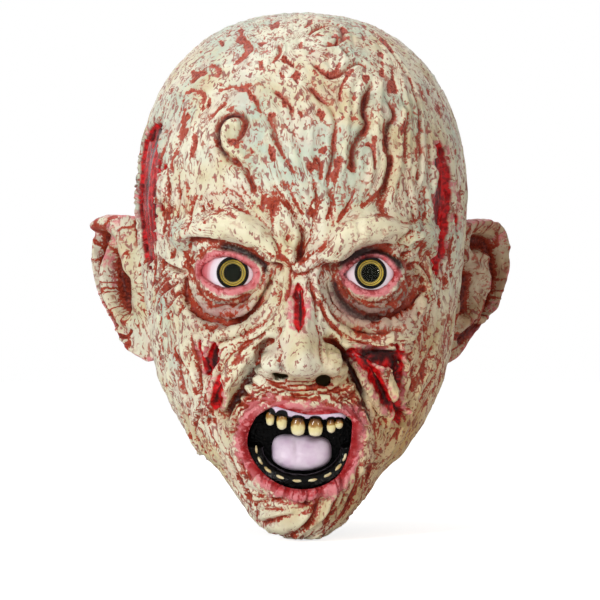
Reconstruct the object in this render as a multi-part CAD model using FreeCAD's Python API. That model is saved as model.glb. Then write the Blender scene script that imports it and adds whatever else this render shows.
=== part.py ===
"""Full-head latex zombie mask, worn over the wearer's own head.

A slush-moulded latex skin carries two glued ears, two plastic eyes that sit behind the eyelids,
and a mouth set behind the lips: a soft black lining, an upper and a lower gum with separate teeth,
and a tongue. All sizes are millimetres. The face looks along -Y, +Z is up, and the origin lies on
the head's upright axis, level with the lowest point of the chin.

The skin is a form in two steps. Plan sections, stacked from chin to crown, give the smooth head.
Relief lays the brow, eyelids, nose, cheeks, lips, chin and wounds on those sections. Every shell
comes from that one form at a chosen distance from the outer surface. Freely curved pieces are made
of small flat facets, which are closer together over the face, so that the model stays light.
"""
import FreeCAD, Part
import math
import os

# ---- driving sizes: head form ------------------------------------------------------------------
head_height = 298.0        # chin to crown
head_width = 190.0         # widest plan section, above the ears
face_reach = 108.0         # origin axis to the forehead
back_reach = 115.0         # origin axis to the back of the skull
dome_start = 190.0         # height where the skull starts to close
wall = 3.0                 # latex thickness
glue_gap = 0.3             # clearance of each glued seat

# ---- driving sizes: face -----------------------------------------------------------------------
eye_spacing = 76.0         # between the two eye centres
eye_height = 147.5
eye_radius = 19.0          # outside of the plastic eyeball
eye_depth = 80.0           # eyeball centre, ahead of the origin axis
lid_width = 31.0           # opening between the corners of the lids
lid_height = 20.5
brow_height = 166.0
brow_rise = 10.0
nose_tip_height = 98.0
nose_reach = 29.0
nose_width = 42.0          # across the two wings
nostril_radius = 3.6
nostril_spacing = 21.0
mouth_height = 51.5
mouth_width = 57.0
mouth_opening = 44.0
lip_rise = 5.0
chin_rise = 6.0
wound_depth = 4.5

# ---- driving sizes: eyes -----------------------------------------------------------------------
eye_wall = 1.6
eye_skirt = 4.0            # straight rim behind the eyeball's widest line, glued to the latex
iris_radius = 7.3
pupil_radius = 5.6
bezel_width = 1.5
bezel_rise = 0.7
iris_thickness = 1.0
cornea_rise = 2.4
eye_facets = 24            # sides of the turned pieces

# ---- driving sizes: mouth ----------------------------------------------------------------------
mouth_margin = 6.0         # how far the lining reaches past the lips' edge
lining_wall = 2.0
lining_back = 76.0         # back of the lining, ahead of the origin axis
upper_gum_height = 72.0
upper_gum_tall = 9.0
upper_gum_thick = 7.0
upper_gum_half = 24.0      # half the width of the upper arch
lower_gum_thick = 9.0
tongue_width = 33.0
tongue_tall = 22.0
tongue_height = 46.0
tongue_tip = 98.0          # ahead of the origin axis
tooth_thick = 4.2
tooth_root = 3.0           # length of a tooth inside its gum
tooth_seat = 0.25

# Upper teeth, from the wearer's right to the left: place across, width, length below the gum.
UPPER_TEETH = [
    (-17.3, 4.4, 4.0),
    (-10.9, 5.6, 6.2),
    (-2.0, 7.6, 9.5),
    (7.6, 7.6, 10.0),
    (15.4, 4.6, 8.0),
    (20.4, 3.6, 5.5),
]
# Lower teeth: angle below the mouth's corners at the wearer's right, width, length above the gum.
LOWER_TEETH = [
    (4, 4.2, 2.4),
    (24, 5.0, 2.6),
    (43, 5.4, 3.2),
    (63, 5.6, 3.8),
    (84, 5.8, 4.0),
    (104, 5.8, 4.0),
    (124, 5.6, 3.6),
    (143, 5.2, 3.0),
    (162, 4.6, 2.6),
]

# ---- driving sizes: ears and hem ---------------------------------------------------------------
ear_height = 88.0
ear_width = 50.0
ear_flare = 42.0           # degrees that an ear stands out from the side of the head
ear_wall = 4.0
ear_middle_height = 139.0
ear_root_inset = 9.0       # front edge of the ear, inside the head's widest line
ear_root_y = 2.0           # front edge of the ear, behind the origin axis
ear_hole_radius = 4.0
ear_corner = {1: 0.20, -1: 0.34}    # how far the upper outer corner passes an ellipse, by side
hem_front = 58.0           # where the hem starts under the chin, ahead of the origin axis
hem_nape = 54.0            # height of the hem at the nape

SIDES = {"left": 1, "right": -1}

# Stations of the smooth head below the dome, as shares of the head's own sizes:
# height, half width, front reach, back reach, where the section is widest (ahead is negative).
STATIONS = [
    (0.000, 0.060, 0.780, -0.500, -0.640),
    (0.012, 0.150, 0.850, -0.440, -0.620),
    (0.030, 0.240, 0.900, -0.330, -0.570),
    (0.060, 0.330, 0.935, -0.130, -0.480),
    (0.085, 0.395, 0.945, 0.030, -0.400),
    (0.120, 0.475, 0.945, 0.250, -0.280),
    (0.155, 0.600, 0.950, 0.470, -0.160),
    (0.195, 0.700, 0.960, 0.620, -0.080),
    (0.240, 0.785, 0.972, 0.690, -0.040),
    (0.300, 0.868, 0.980, 0.755, -0.010),
    (0.400, 0.925, 0.968, 0.850, 0.010),
    (0.500, 0.962, 0.945, 0.930, 0.020),
    (0.570, 0.985, 0.985, 0.975, 0.030),
    (0.634, 1.000, 1.000, 1.000, 0.030),
]
ROUNDNESS = 2.3            # squareness of the plan sections and of the dome


def vec(x, y, z):
    return FreeCAD.Vector(x, y, z)


def bell(distance, width):
    return math.exp(-(distance / width) ** 2)


def ramp(value, low, high):
    """0 below low, 1 above high, smooth between them."""
    t = min(1.0, max(0.0, (value - low) / (high - low)))
    return t * t * (3 - 2 * t)


def near_segment(x, z, x1, z1, x2, z2):
    """Distance of (x, z) from a segment, and how far along it the nearest point lies."""
    run, climb = x2 - x1, z2 - z1
    t = ((x - x1) * run + (z - z1) * climb) / (run * run + climb * climb)
    t = min(1.0, max(0.0, t))
    return math.hypot(x - x1 - t * run, z - z1 - t * climb), t


# ---- the head form -----------------------------------------------------------------------------
def station_value(column, share):
    """Smooth value of one column of STATIONS at a share of the head's height."""
    last = len(STATIONS) - 1
    k = 0
    while k < last - 1 and share > STATIONS[k + 1][0]:
        k += 1
    here, there = STATIONS[k], STATIONS[k + 1]
    before, after = STATIONS[max(k - 1, 0)], STATIONS[min(k + 2, last)]
    span = there[0] - here[0]
    t = (share - here[0]) / span
    rise_here = (there[column] - before[column]) / (there[0] - before[0]) * span
    rise_there = 0.0 if k + 1 == last else (after[column] - here[column]) / (after[0] - here[0]) * span
    return (
        (2 * t ** 3 - 3 * t ** 2 + 1) * here[column]
        + (t ** 3 - 2 * t ** 2 + t) * rise_here
        + (3 * t ** 2 - 2 * t ** 3) * there[column]
        + (t ** 3 - t ** 2) * rise_there
    )


def plan_section(z):
    """Half width, front reach, back reach and widest place of the smooth head at height z."""
    share = min(max(z, 0.0) / dome_start, 1.0) * STATIONS[-1][0]
    closing = 1.0
    if z > dome_start:
        climb = min((z - dome_start) / (head_height - dome_start), 0.9999)
        closing = (1 - climb ** ROUNDNESS) ** (1 / ROUNDNESS)
    half = head_width / 2 * station_value(1, share) * closing
    front = face_reach * station_value(2, share) * closing
    back = back_reach * station_value(3, share) * closing
    return half, front, back, back_reach * station_value(4, share)


def mouth_distance(x, z):
    """Distance outside the edge of the mouth opening, negative inside it."""
    r = math.hypot(x / (mouth_width / 2), (z - mouth_height) / (mouth_opening / 2))
    return (r - 1) * math.hypot(x, z - mouth_height) / max(r, 0.2)


def face_relief(x, z):
    """Height of the face's forms over the smooth head, at x from the middle and height z."""
    side = abs(x)
    eye_x = eye_spacing / 2
    low = brow_height - 11
    inner, _ = near_segment(side, z, 9, low, 25, brow_height + 1)
    outer, _ = near_segment(side, z, 25, brow_height + 1, eye_x + 2, brow_height + 7)
    end, _ = near_segment(side, z, eye_x + 2, brow_height + 7, eye_x + 26, brow_height + 2)
    rise = brow_rise * bell(min(inner, outer, end), 7.5)
    rise += 4.0 * bell(math.hypot(x + 1, (z - eye_height - 6) * 0.6), 5)
    rise -= 7.0 * bell(math.hypot((side - eye_x) / 1.4, z - eye_height + 2), 13)
    ring = math.hypot(side - eye_x - 1, z - eye_height + 2)
    below = ramp(eye_height - z, -6, 10)
    rise += below * (2.5 * bell(ring - 19, 3.5) - 3.5 * bell(ring - 25.5, 2.8) + 3.5 * bell(ring - 31, 3.6))
    bridge, along = near_segment(x, z, 0, eye_height + 4, 0, nose_tip_height)
    nose = (7 + (nose_reach - 7) * along ** 1.5) * bell(bridge, 8 + 4 * along)
    nose += 14.0 * bell(math.hypot(side - nose_width / 2 + 5, z - nose_tip_height + 1), 6.5)
    rise += nose * ramp(z, nose_tip_height - 13, nose_tip_height - 5)
    rise += 6.0 * bell(math.hypot(side - 50, (z - eye_height + 39) * 1.2), 15)
    wing_x, wing_z = nose_width / 2, nose_tip_height
    end_x, end_z = mouth_width / 2 + 16, mouth_height + 16
    wing, _ = near_segment(side, z, wing_x - 1, wing_z + 9, wing_x + 5, wing_z - 3)
    fold, _ = near_segment(side, z, wing_x + 5, wing_z - 3, end_x, end_z)
    cheek, _ = near_segment(side, z, wing_x + 12, wing_z + 3, end_x + 8, end_z + 4)
    rise += 4.0 * bell(cheek, 5) - 4.5 * bell(min(wing, fold), 3.8)
    rise += 6.0 * bell(math.hypot(x / 1.25, z - mouth_height - 2), 30)
    rise += lip_rise * bell(mouth_distance(x, z) - 3.0, 4.2)
    rise += chin_rise * bell(math.hypot(x, (z - 12) * 1.3), 15)
    rise -= wound_depth * bell(near_segment(x, z, 46, 101, 55, 70)[0], 6)
    rise -= wound_depth * bell(near_segment(x, z, -52, 106, -47, 72)[0], 4.5)
    rise -= wound_depth * 0.7 * bell(near_segment(x, z, -1.5, 139, -0.5, 119)[0], 3)
    return rise


def temple_relief(x, y, z):
    """Long open wound down each temple."""
    gash, _ = near_segment(y, z, -52, 216, -54, 160)
    return -wound_depth * bell(gash, 8) if abs(x) > head_width / 4 else 0.0


def over_eyeball(x, y, z, offset):
    """Pulls a point of the face forward over the eyeball, as the lids lie on it."""
    lid = eye_radius + glue_gap + wall + offset
    dx, dz = abs(x) - eye_spacing / 2, z - eye_height
    inside = lid * lid - dx * dx - dz * dz
    if y > 0 or inside <= 0:
        return y
    ball = -eye_depth - math.sqrt(inside)
    blend = 3.0
    gap = max(blend - abs(y - ball), 0.0) / blend
    return min(y, ball) - gap * gap * blend / 4


def form_point(angle, z, offset):
    """Point of the head form at an angle round the section (0 faces -Y), offset outwards."""
    half, front, back, middle = plan_section(z)
    s, c = math.sin(angle), math.cos(angle)
    reach = front + middle if c > 0 else back - middle
    x = half * math.copysign(abs(s) ** (2 / ROUNDNESS), s)
    y = middle - reach * math.copysign(abs(c) ** (2 / ROUNDNESS), c)
    nx, ny = s / half, -c / max(reach, 1.0)
    length = math.hypot(nx, ny)
    rise = offset + temple_relief(x, y, z)
    if c > 0:
        rise += face_relief(x, z)
    x += nx / length * rise
    y += ny / length * rise
    lift = offset * (z / head_height * 2 - 1)
    return vec(x, over_eyeball(x, y, z, offset), z + lift)


def front_y(x, z, offset):
    """Where the form's front lies at x and height z."""
    low, high = 0.0, math.pi / 2
    for _ in range(24):
        middle = (low + high) / 2
        if form_point(middle, z, offset).x < abs(x):
            low = middle
        else:
            high = middle
    return form_point(math.copysign(low, x), z, offset).y


# ---- solids of flat facets ---------------------------------------------------------------------
def faceted_solid(rows, ring=False):
    """Solid between stacked closed rows of points, each of the same count.

    Its ends are closed, or in a ring the last row joins the first.
    """
    count = len(rows[0])
    points = [p for row in rows for p in row]
    facets = []
    for j in range(len(rows) if ring else len(rows) - 1):
        above = (j + 1) % len(rows)
        for i in range(count):
            k = (i + 1) % count
            a, b = j * count + i, j * count + k
            c, d = above * count + k, above * count + i
            if points[a].distanceToPoint(points[c]) <= points[b].distanceToPoint(points[d]):
                facets += [(a, b, c), (a, c, d)]
            else:
                facets += [(a, b, d), (b, c, d)]
    for first, turn in () if ring else ((0, -1), (len(points) - count, 1)):
        ring = points[first:first + count]
        hub = len(points)
        points.append(sum(ring[1:], ring[0]) * (1.0 / count))
        for i in range(count):
            edge = (first + i, first + (i + 1) % count)[::turn]
            facets.append((hub, edge[0], edge[1]))
    shape = Part.Shape()
    shape.makeShapeFromMesh((points, facets), 0.001, False)
    solid = Part.Solid(Part.Shell(shape.Faces))
    if solid.Volume < 0:
        solid.reverse()
    return solid


def head_form(offset, columns, row_step, dome_rows, lowest):
    """The head form as a solid, offset outwards from the skin's outer surface."""
    share = [k / columns for k in range(columns + 1)]
    half_turn = [math.pi * (0.35 * s + 0.65 * s * s) for s in share]
    angles = [-a for a in half_turn[-2:0:-1]] + half_turn
    chin = [z for z in (0.0, 2.5, 6.0, 11.0) if z >= lowest]
    first = 16.0
    steps = round((dome_start - first) / row_step)
    face = [first + (dome_start - first) * k / steps for k in range(steps)]
    span = head_height - dome_start
    dome = [dome_start + span * math.sin(math.radians(88 * k / dome_rows)) for k in range(dome_rows + 1)]
    return faceted_solid([[form_point(a, z, offset) for a in angles] for z in chin + face + dome])


def outer_form(offset):
    return head_form(offset, 26, 6.0, 9, 0.0)


def inner_form(offset):
    return head_form(offset, 17, 9.0, 6, 2.0)


# ---- openings of the skin ----------------------------------------------------------------------
def below_hem():
    """Everything under the slanting hem, from the chin's underside to the nape."""
    hem = Part.BSplineCurve()
    hem.interpolate([vec(-head_width, y, z) for y, z in (
        (-hem_front, -1.0), (-40.0, 14.0), (0.0, 36.0),
        (40.0, hem_nape - 4.0), (80.0, hem_nape), (150.0, hem_nape),
    )])
    below = -20.0
    corners = [
        hem.EndPoint, vec(-head_width, 150.0, below),
        vec(-head_width, -hem_front, below), hem.StartPoint,
    ]
    profile = Part.Wire([hem.toShape()] + Part.makePolygon(corners).Edges)
    return Part.Face(profile).extrude(vec(2 * head_width, 0, 0))


def eye_opening(side):
    """Almond between the lids, as a prism through the face."""
    x, y = side * eye_spacing / 2, -eye_depth - 60
    inner, outer = vec(x - lid_width / 2, y, eye_height - 1), vec(x + lid_width / 2, y, eye_height - 1)
    upper = Part.Arc(inner, vec(x, y, eye_height + lid_height * 0.52), outer).toShape()
    lower = Part.Arc(outer, vec(x, y, eye_height - lid_height * 0.48), inner).toShape()
    return Part.Face(Part.Wire([upper, lower])).extrude(vec(0, 60, 0))


def mouth_opening_prism():
    middle = vec(0, -face_reach - 40, mouth_height)
    ellipse = Part.Ellipse(middle, mouth_width / 2, mouth_opening / 2)
    shape = ellipse.toShape()
    shape.rotate(middle, vec(1, 0, 0), 90)
    return Part.Face(Part.Wire([shape])).extrude(vec(0, 80, 0))


def nostril(side):
    foot = vec(side * nostril_spacing / 2, -face_reach - 9, nose_tip_height - 18)
    return Part.makeCylinder(nostril_radius, 20, foot, vec(0, 0.1, 1))


def ear_hole(side):
    """Bore from the ear's bowl through its root and the skin, for hearing."""
    bowl = ear_point(side, 18, 0, -8)
    return Part.makeCylinder(ear_hole_radius, 60, bowl + vec(side * 30, 0, 0), vec(-side, 0, 0))


def latex_skin():
    skin = outer_form(0.0).cut(inner_form(-wall))
    for side in SIDES.values():
        seat = Part.makeSphere(eye_radius + glue_gap, eye_centre(side))
        skirt = Part.makeCylinder(eye_radius + glue_gap, 12, eye_centre(side), vec(0, 1, 0))
        skin = skin.cut(seat.fuse(skirt))
        skin = skin.cut(eye_opening(side))
        skin = skin.cut(nostril(side))
        skin = skin.cut(ear_hole(side))
    skin = skin.cut(mouth_opening_prism())
    skin = skin.cut(below_hem())
    return max(skin.Solids, key=lambda solid: solid.Volume)


# ---- ears --------------------------------------------------------------------------------------
def ear_point(side, across, up, rise):
    """Point of an ear: across it from the front edge, up from its middle, and out of its face."""
    flare = math.radians(ear_flare)
    x = head_width / 2 - ear_root_inset + across * math.sin(flare) + rise * math.cos(flare)
    y = ear_root_y + across * math.cos(flare) - rise * math.sin(flare)
    return vec(side * x, y, ear_middle_height + up)


def ear_outline(side, angle):
    """Reach of the ear's edge from the middle of its bowl, at an angle from the outward level."""
    c, s = math.cos(angle), math.sin(angle)
    across = ear_width * (0.60 if c > 0 else 0.40)
    reach = 1 / math.hypot(c / across, s / (ear_height / 2))
    return reach * (1 + ear_corner[side] * bell(angle - 0.9, 0.42) - 0.16 * bell(angle + 0.9, 0.6))


def ear_front(angle, share):
    """Height of the ear's modelled face at a share of the way from the bowl to the edge."""
    upper = ramp(angle, -1.9, -1.1) * (1 - ramp(angle, 2.7, 3.1))
    rise = 6.0 * bell(share - 0.91, 0.09) * (0.25 + 0.75 * upper)
    rise += 4.5 * bell(share - 0.60, 0.12) * ramp(angle, -1.6, -0.8) * (1 - ramp(angle, 1.7, 2.4))
    rise -= 8.0 * (1 - ramp(share, 0.2, 0.55))
    rise += 5.0 * bell(share - 0.62, 0.16) * bell(abs(angle) - math.pi, 0.45)
    return rise


def ear(side):
    spokes = 24
    turn = [2 * math.pi * k / spokes - math.pi for k in range(spokes)]
    middle = ear_width * 0.40
    front = (0.10, 0.30, 0.46, 0.60, 0.74, 0.84, 0.92, 0.985)
    back = ((1.0, 0.6), (0.97, 1.0), (0.84, 1.0), (0.62, 1.0), (0.36, 1.0), (0.12, 1.0))
    rows = []
    for share in front:
        rows.append([(a, share, ear_front(a, share)) for a in turn])
    for share, depth in back:
        rows.append([(a, share, min(ear_front(a, share), 2.0) - ear_wall * depth) for a in turn])
    stacked = []
    for row in rows:
        reach = [ear_outline(side, a) * share for a, share, rise in row]
        stacked.append([
            ear_point(side, middle + out * math.cos(a), out * math.sin(a), rise)
            for out, (a, share, rise) in zip(reach, row)
        ])
    shell = faceted_solid(stacked)
    root = []
    for inward, across, tall, rise in ((0, 11, 27, -6), (14, 13, 30, -10), (30, 14, 32, -14)):
        loop = []
        for a in turn[::2]:
            p = ear_point(side, 15 + across * math.cos(a), tall * math.sin(a), rise)
            loop.append(p - vec(side * inward, 0, 0))
        root.append(loop)
    whole = shell.fuse(faceted_solid(root))
    whole = whole.cut(outer_form(glue_gap)).cut(ear_hole(side))
    return max(whole.Solids, key=lambda solid: solid.Volume)


# ---- eyes --------------------------------------------------------------------------------------
def eye_centre(side):
    return vec(side * eye_spacing / 2, -eye_depth, eye_height)


def turned(side, profile):
    """Ring about one eye's axis, from (radius, distance ahead of the eye's centre), or a full disc.

    A profile that starts and ends on the axis gives a disc.
    """
    middle = eye_centre(side)
    disc = profile[0][0] == 0
    rows = []
    for radius, ahead in profile[1:-1] if disc else profile:
        turn = [2 * math.pi * k / eye_facets for k in range(eye_facets)]
        rows.append([middle + vec(radius * math.cos(a), -ahead, radius * math.sin(a)) for a in turn])
    return faceted_solid(rows, ring=not disc)


def ball_ahead(radius, out):
    return math.sqrt(radius * radius - out * out)


bezel_outer = iris_radius + bezel_width
bezel_back = ball_ahead(eye_radius, bezel_outer) - 4.0
iris_back = bezel_back + 1.0


def eyeball(side):
    """Half ball of moulded plastic with a bore for the bezel and a straight rim behind."""
    bore = bezel_outer + 0.15
    rounds = [math.asin(bore / eye_radius), 0.60, 0.72, 0.86, 1.02, 1.25, math.pi / 2]
    outside = [(eye_radius * math.sin(a), eye_radius * math.cos(a)) for a in rounds]
    inner_radius = eye_radius - eye_wall
    slope = ball_ahead(inner_radius, bore)
    inside = [(inner_radius, -eye_skirt), (inner_radius, 3.0), (14.5, 9.0), (bore, slope)]
    return turned(side, outside + [(eye_radius, -eye_skirt)] + inside)


def iris_bezel(side):
    front = ball_ahead(eye_radius, bezel_outer) + bezel_rise
    lip = pupil_radius + 1.0
    bore = iris_radius + 0.1
    return turned(side, [
        (bezel_outer, bezel_back),
        (bezel_outer, front - 0.4),
        (bezel_outer - 0.5, front),
        (bore, front),
        (bore, iris_back),
        (lip, iris_back),
        (lip, bezel_back),
    ])


def iris_ring(side):
    low, high = iris_back + 0.05, iris_back + 0.05 + iris_thickness
    return turned(side, [
        (pupil_radius, low), (iris_radius, low), (iris_radius, high), (pupil_radius, high),
    ])


def pupil_lens(side):
    low, high = iris_back + 0.05, iris_back + iris_thickness - 0.1
    radius = pupil_radius - 0.1
    return turned(side, [(0, low), (radius, low), (radius, high), (0, high)])


def cornea(side):
    """Clear cap over the iris, flat behind and domed ahead."""
    low = iris_back + iris_thickness + 0.15
    steps = 4
    dome = []
    for k in range(steps):
        a = math.radians(80) * k / (steps - 1)
        dome.append((iris_radius * math.cos(a), low + 0.6 + cornea_rise * math.sin(a)))
    return turned(side, [(0, low), (iris_radius, low)] + dome + [(0, dome[-1][1])])


# ---- mouth -------------------------------------------------------------------------------------
def squared_loop(half_width, half_height, y, count):
    """Rounded upright loop about the mouth's middle."""
    loop = []
    for k in range(count):
        a = 2 * math.pi * k / count
        s, c = math.sin(a), math.cos(a)
        x = half_width * math.copysign(abs(s) ** 0.6, s)
        z = half_height * math.copysign(abs(c) ** 0.6, c)
        loop.append(vec(x, y, mouth_height + z))
    return loop


def pouch(inset, front):
    """The lining's space as a solid, its walls drawn in by an inset."""
    half_width = mouth_width / 2 + mouth_margin - inset
    half_height = mouth_opening / 2 + mouth_margin - inset
    back = -lining_back - inset
    count = 28
    return faceted_solid([
        squared_loop(half_width, half_height, -front, count),
        squared_loop(half_width, half_height, back - 5, count),
        squared_loop(half_width - 4, half_height - 4, back, count),
    ])


def mouth_lining():
    """Soft pouch behind the lips that closes the mouth off from the wearer's face."""
    cup = pouch(0.0, 130.0).cut(pouch(lining_wall, 131.0))
    cup = cup.common(inner_form(-wall - glue_gap))
    return max(cup.Solids, key=lambda solid: solid.Volume)


def beam(path, across, half_a, half_b):
    """Eight-sided bar along a path; across gives the first half-size's direction at each point."""
    rows = []
    for k, point in enumerate(path):
        ahead = path[min(k + 1, len(path) - 1)] - path[max(k - 1, 0)]
        ahead.normalize()
        first = across(point)
        first = first - ahead * first.dot(ahead)
        first.normalize()
        second = ahead.cross(first)
        rows.append([
            point + first * (half_a * math.cos(a)) * 1.08 + second * (half_b * math.sin(a)) * 1.08
            for a in [math.pi / 8 + math.pi / 4 * n for n in range(8)]
        ])
    return faceted_solid(rows)


def tooth(width, thickness, root, length):
    """Tapering tooth with a chipped flat tip, pointing up from its root at the origin."""
    rows = []
    for height, share in ((-root, 0.92), (0.0, 1.0), (length * 0.7, 0.92), (length, 0.66)):
        rows.append([
            vec(width / 2 * share * math.copysign(abs(math.cos(a)) ** 0.6, math.cos(a)),
                thickness / 2 * share * math.copysign(abs(math.sin(a)) ** 0.6, math.sin(a)), height)
            for a in [math.pi / 5 * n for n in range(10)]
        ])
    return faceted_solid(rows)


def upper_gum_point(x):
    behind = wall + glue_gap + upper_gum_thick / 2 + 0.4
    return vec(x, front_y(x, upper_gum_height, -behind), upper_gum_height)


def lower_gum_point(degrees):
    """Point of the lower gum's arch, which follows the mouth's edge round from corner to corner."""
    a = math.radians(degrees)
    inset = mouth_margin - lining_wall - glue_gap - lower_gum_thick / 2 - 0.4
    x = -(mouth_width / 2 + inset) * math.cos(a)
    z = mouth_height - (mouth_opening / 2 + inset) * math.sin(a)
    return vec(x, front_y(x, z, -wall - glue_gap - lower_gum_thick / 2 - 0.4), z)


def upper_teeth(seat):
    """Placed upper teeth, or with a seat their sockets."""
    teeth = []
    for x, width, length in UPPER_TEETH:
        here, beside = upper_gum_point(x), upper_gum_point(x + 0.5)
        turn = math.degrees(math.atan2(beside.y - here.y, 0.5))
        solid = tooth(width + 2 * seat, tooth_thick + 2 * seat, tooth_root + seat, length)
        solid.rotate(vec(0, 0, 0), vec(1, 0, 0), 180)
        solid.rotate(vec(0, 0, 0), vec(0, 0, 1), turn)
        solid.translate(here - vec(0, 0, upper_gum_tall / 2))
        teeth.append(solid)
    return teeth


def lower_teeth(seat):
    """Placed lower teeth, or with a seat their sockets, each pointing at the mouth's middle."""
    teeth = []
    for degrees, width, length in LOWER_TEETH:
        here = lower_gum_point(degrees)
        solid = tooth(width + 2 * seat, tooth_thick + 2 * seat, tooth_root + seat, length)
        solid.rotate(vec(0, 0, 0), vec(0, 1, 0), 90 - degrees)
        inward = vec(math.cos(math.radians(degrees)), 0, math.sin(math.radians(degrees)))
        solid.translate(here + inward * (lower_gum_thick / 2))
        teeth.append(solid)
    return teeth


def upper_gum():
    steps = 16
    path = [upper_gum_point(upper_gum_half * (2 * k / steps - 1)) for k in range(steps + 1)]
    gum = beam(path, lambda point: vec(0, 0, 1), upper_gum_tall / 2, upper_gum_thick / 2)
    gum = gum.common(pouch(lining_wall + glue_gap, 130.0)).common(inner_form(-wall - glue_gap))
    for socket in upper_teeth(tooth_seat):
        gum = gum.cut(socket)
    return gum


def lower_gum():
    steps = 20
    path = [lower_gum_point(-8 + 196 * k / steps) for k in range(steps + 1)]
    gum = beam(path, lambda point: vec(0, 1, 0), lower_gum_thick / 2, lower_gum_thick / 2)
    for socket in lower_teeth(tooth_seat):
        gum = gum.cut(socket)
    return gum


def tongue():
    """Grooved tongue whose root is glued to the back of the lining."""
    root = lining_back + lining_wall + glue_gap
    rows = []
    for share in (0.0, 0.12, 0.3, 0.55, 1.0):
        round_off = 0.25 + 0.75 * math.sqrt(1 - (1 - share) ** 2)
        y = -tongue_tip + (tongue_tip - root) * share
        row = []
        for k in range(20):
            a = 2 * math.pi * k / 20
            groove = 3.0 * bell(math.sin(a), 0.25) if math.cos(a) > 0 else 0.0
            x = tongue_width / 2 * math.sin(a) * round_off
            z = (tongue_tall / 2 * math.cos(a) - groove) * round_off
            row.append(vec(x, y, tongue_height + z))
        rows.append(row)
    return faceted_solid(rows)


def write(name, shape):
    shape.exportStep("parts/" + name + ".step")


def main():
    os.makedirs("parts", exist_ok=True)
    write("latex_skin", latex_skin())
    for name, side in SIDES.items():
        write(name + "_ear", ear(side))
        write(name + "_eyeball", eyeball(side))
        write(name + "_iris_bezel", iris_bezel(side))
        write(name + "_iris_ring", iris_ring(side))
        write(name + "_pupil_lens", pupil_lens(side))
        write(name + "_cornea", cornea(side))
    write("mouth_lining", mouth_lining())
    write("upper_gum", upper_gum())
    write("lower_gum", lower_gum())
    write("tongue", tongue())
    for number, solid in enumerate(upper_teeth(0.0), 1):
        write("upper_tooth_" + str(number), solid)
    for number, solid in enumerate(lower_teeth(0.0), 1):
        write("lower_tooth_" + str(number), solid)


main()
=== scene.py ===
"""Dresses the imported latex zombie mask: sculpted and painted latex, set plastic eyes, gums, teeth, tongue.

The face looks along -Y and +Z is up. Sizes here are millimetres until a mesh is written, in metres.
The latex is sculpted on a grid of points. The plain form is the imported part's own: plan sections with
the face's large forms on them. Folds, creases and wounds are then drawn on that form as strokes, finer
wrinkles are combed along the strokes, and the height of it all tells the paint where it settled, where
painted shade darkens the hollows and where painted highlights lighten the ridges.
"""
import math

import bmesh
import bpy
import numpy as np
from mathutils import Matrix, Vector
from mathutils.bvhtree import BVHTree


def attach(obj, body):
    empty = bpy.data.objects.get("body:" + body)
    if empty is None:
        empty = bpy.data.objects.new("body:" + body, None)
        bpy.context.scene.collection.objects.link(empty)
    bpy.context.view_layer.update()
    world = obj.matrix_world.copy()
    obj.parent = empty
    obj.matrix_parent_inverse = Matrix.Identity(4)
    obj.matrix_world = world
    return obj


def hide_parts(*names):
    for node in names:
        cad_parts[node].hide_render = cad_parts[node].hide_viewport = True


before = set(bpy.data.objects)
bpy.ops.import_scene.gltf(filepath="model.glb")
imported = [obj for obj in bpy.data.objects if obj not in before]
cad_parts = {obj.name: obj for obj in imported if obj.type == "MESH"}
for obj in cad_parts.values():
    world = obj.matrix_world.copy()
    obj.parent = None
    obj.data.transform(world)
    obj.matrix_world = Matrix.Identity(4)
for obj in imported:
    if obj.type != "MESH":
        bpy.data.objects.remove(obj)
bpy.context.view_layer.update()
bpy.ops.object.select_all(action="DESELECT")

MM = 0.001

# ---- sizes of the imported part, in millimetres --------------------------------------------------
head_height = 298.0
head_width = 190.0
face_reach = 108.0
back_reach = 115.0
dome_start = 190.0
wall = 3.0
glue_gap = 0.3
eye_spacing = 76.0
eye_height = 147.5
eye_radius = 19.0
eye_depth = 80.0
lid_seat = 3.3
brow_height = 166.0
brow_rise = 10.0
nose_tip_height = 98.0
nose_reach = 29.0
nose_width = 42.0
mouth_height = 51.5
mouth_width = 57.0
mouth_opening = 44.0
lip_rise = 5.0
chin_rise = 6.0
lining_wall = 2.0
lining_back = 76.0
tongue_tip = 98.0
ear_width = 50.0
ear_flare = math.radians(42.0)
ear_wall = 4.0
ear_middle_height = 139.0
ear_root = (86.0, 2.0)
ear_hole_y = 20.7
ear_hole_radius = 4.0
hem_front = 58.0
hem_nape = 54.0

skin_triangles = 195000

# Smooth head below the dome, as shares: height, half width, front, back, place of the widest point.
STATIONS = np.array([
    (0.000, 0.060, 0.780, -0.500, -0.640),
    (0.012, 0.150, 0.850, -0.440, -0.620),
    (0.030, 0.240, 0.900, -0.330, -0.570),
    (0.060, 0.330, 0.935, -0.130, -0.480),
    (0.085, 0.395, 0.945, 0.030, -0.400),
    (0.120, 0.475, 0.945, 0.250, -0.280),
    (0.155, 0.600, 0.950, 0.470, -0.160),
    (0.195, 0.700, 0.960, 0.620, -0.080),
    (0.240, 0.785, 0.972, 0.690, -0.040),
    (0.300, 0.868, 0.980, 0.755, -0.010),
    (0.400, 0.925, 0.968, 0.850, 0.010),
    (0.500, 0.962, 0.945, 0.930, 0.020),
    (0.570, 0.985, 0.985, 0.975, 0.030),
    (0.634, 1.000, 1.000, 1.000, 0.030),
])
ROUNDNESS = 2.3

# ---- the view ----------------------------------------------------------------------------------
camera_distance = 2000.0
camera_height = 132.5
view_width = 347.4         # what the frame spans at the origin's depth
camera_place = np.array([-0.9, -camera_distance, camera_height])


def bell(distance, width):
    """1 at no distance, falling smoothly to nothing a few widths away."""
    return np.exp(-(distance / width) ** 2)


def ramp(value, low, high):
    """Smooth step from 0 at low to 1 at high."""
    t = np.clip((value - low) / (high - low), 0, 1)
    return t * t * (3 - 2 * t)


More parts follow.
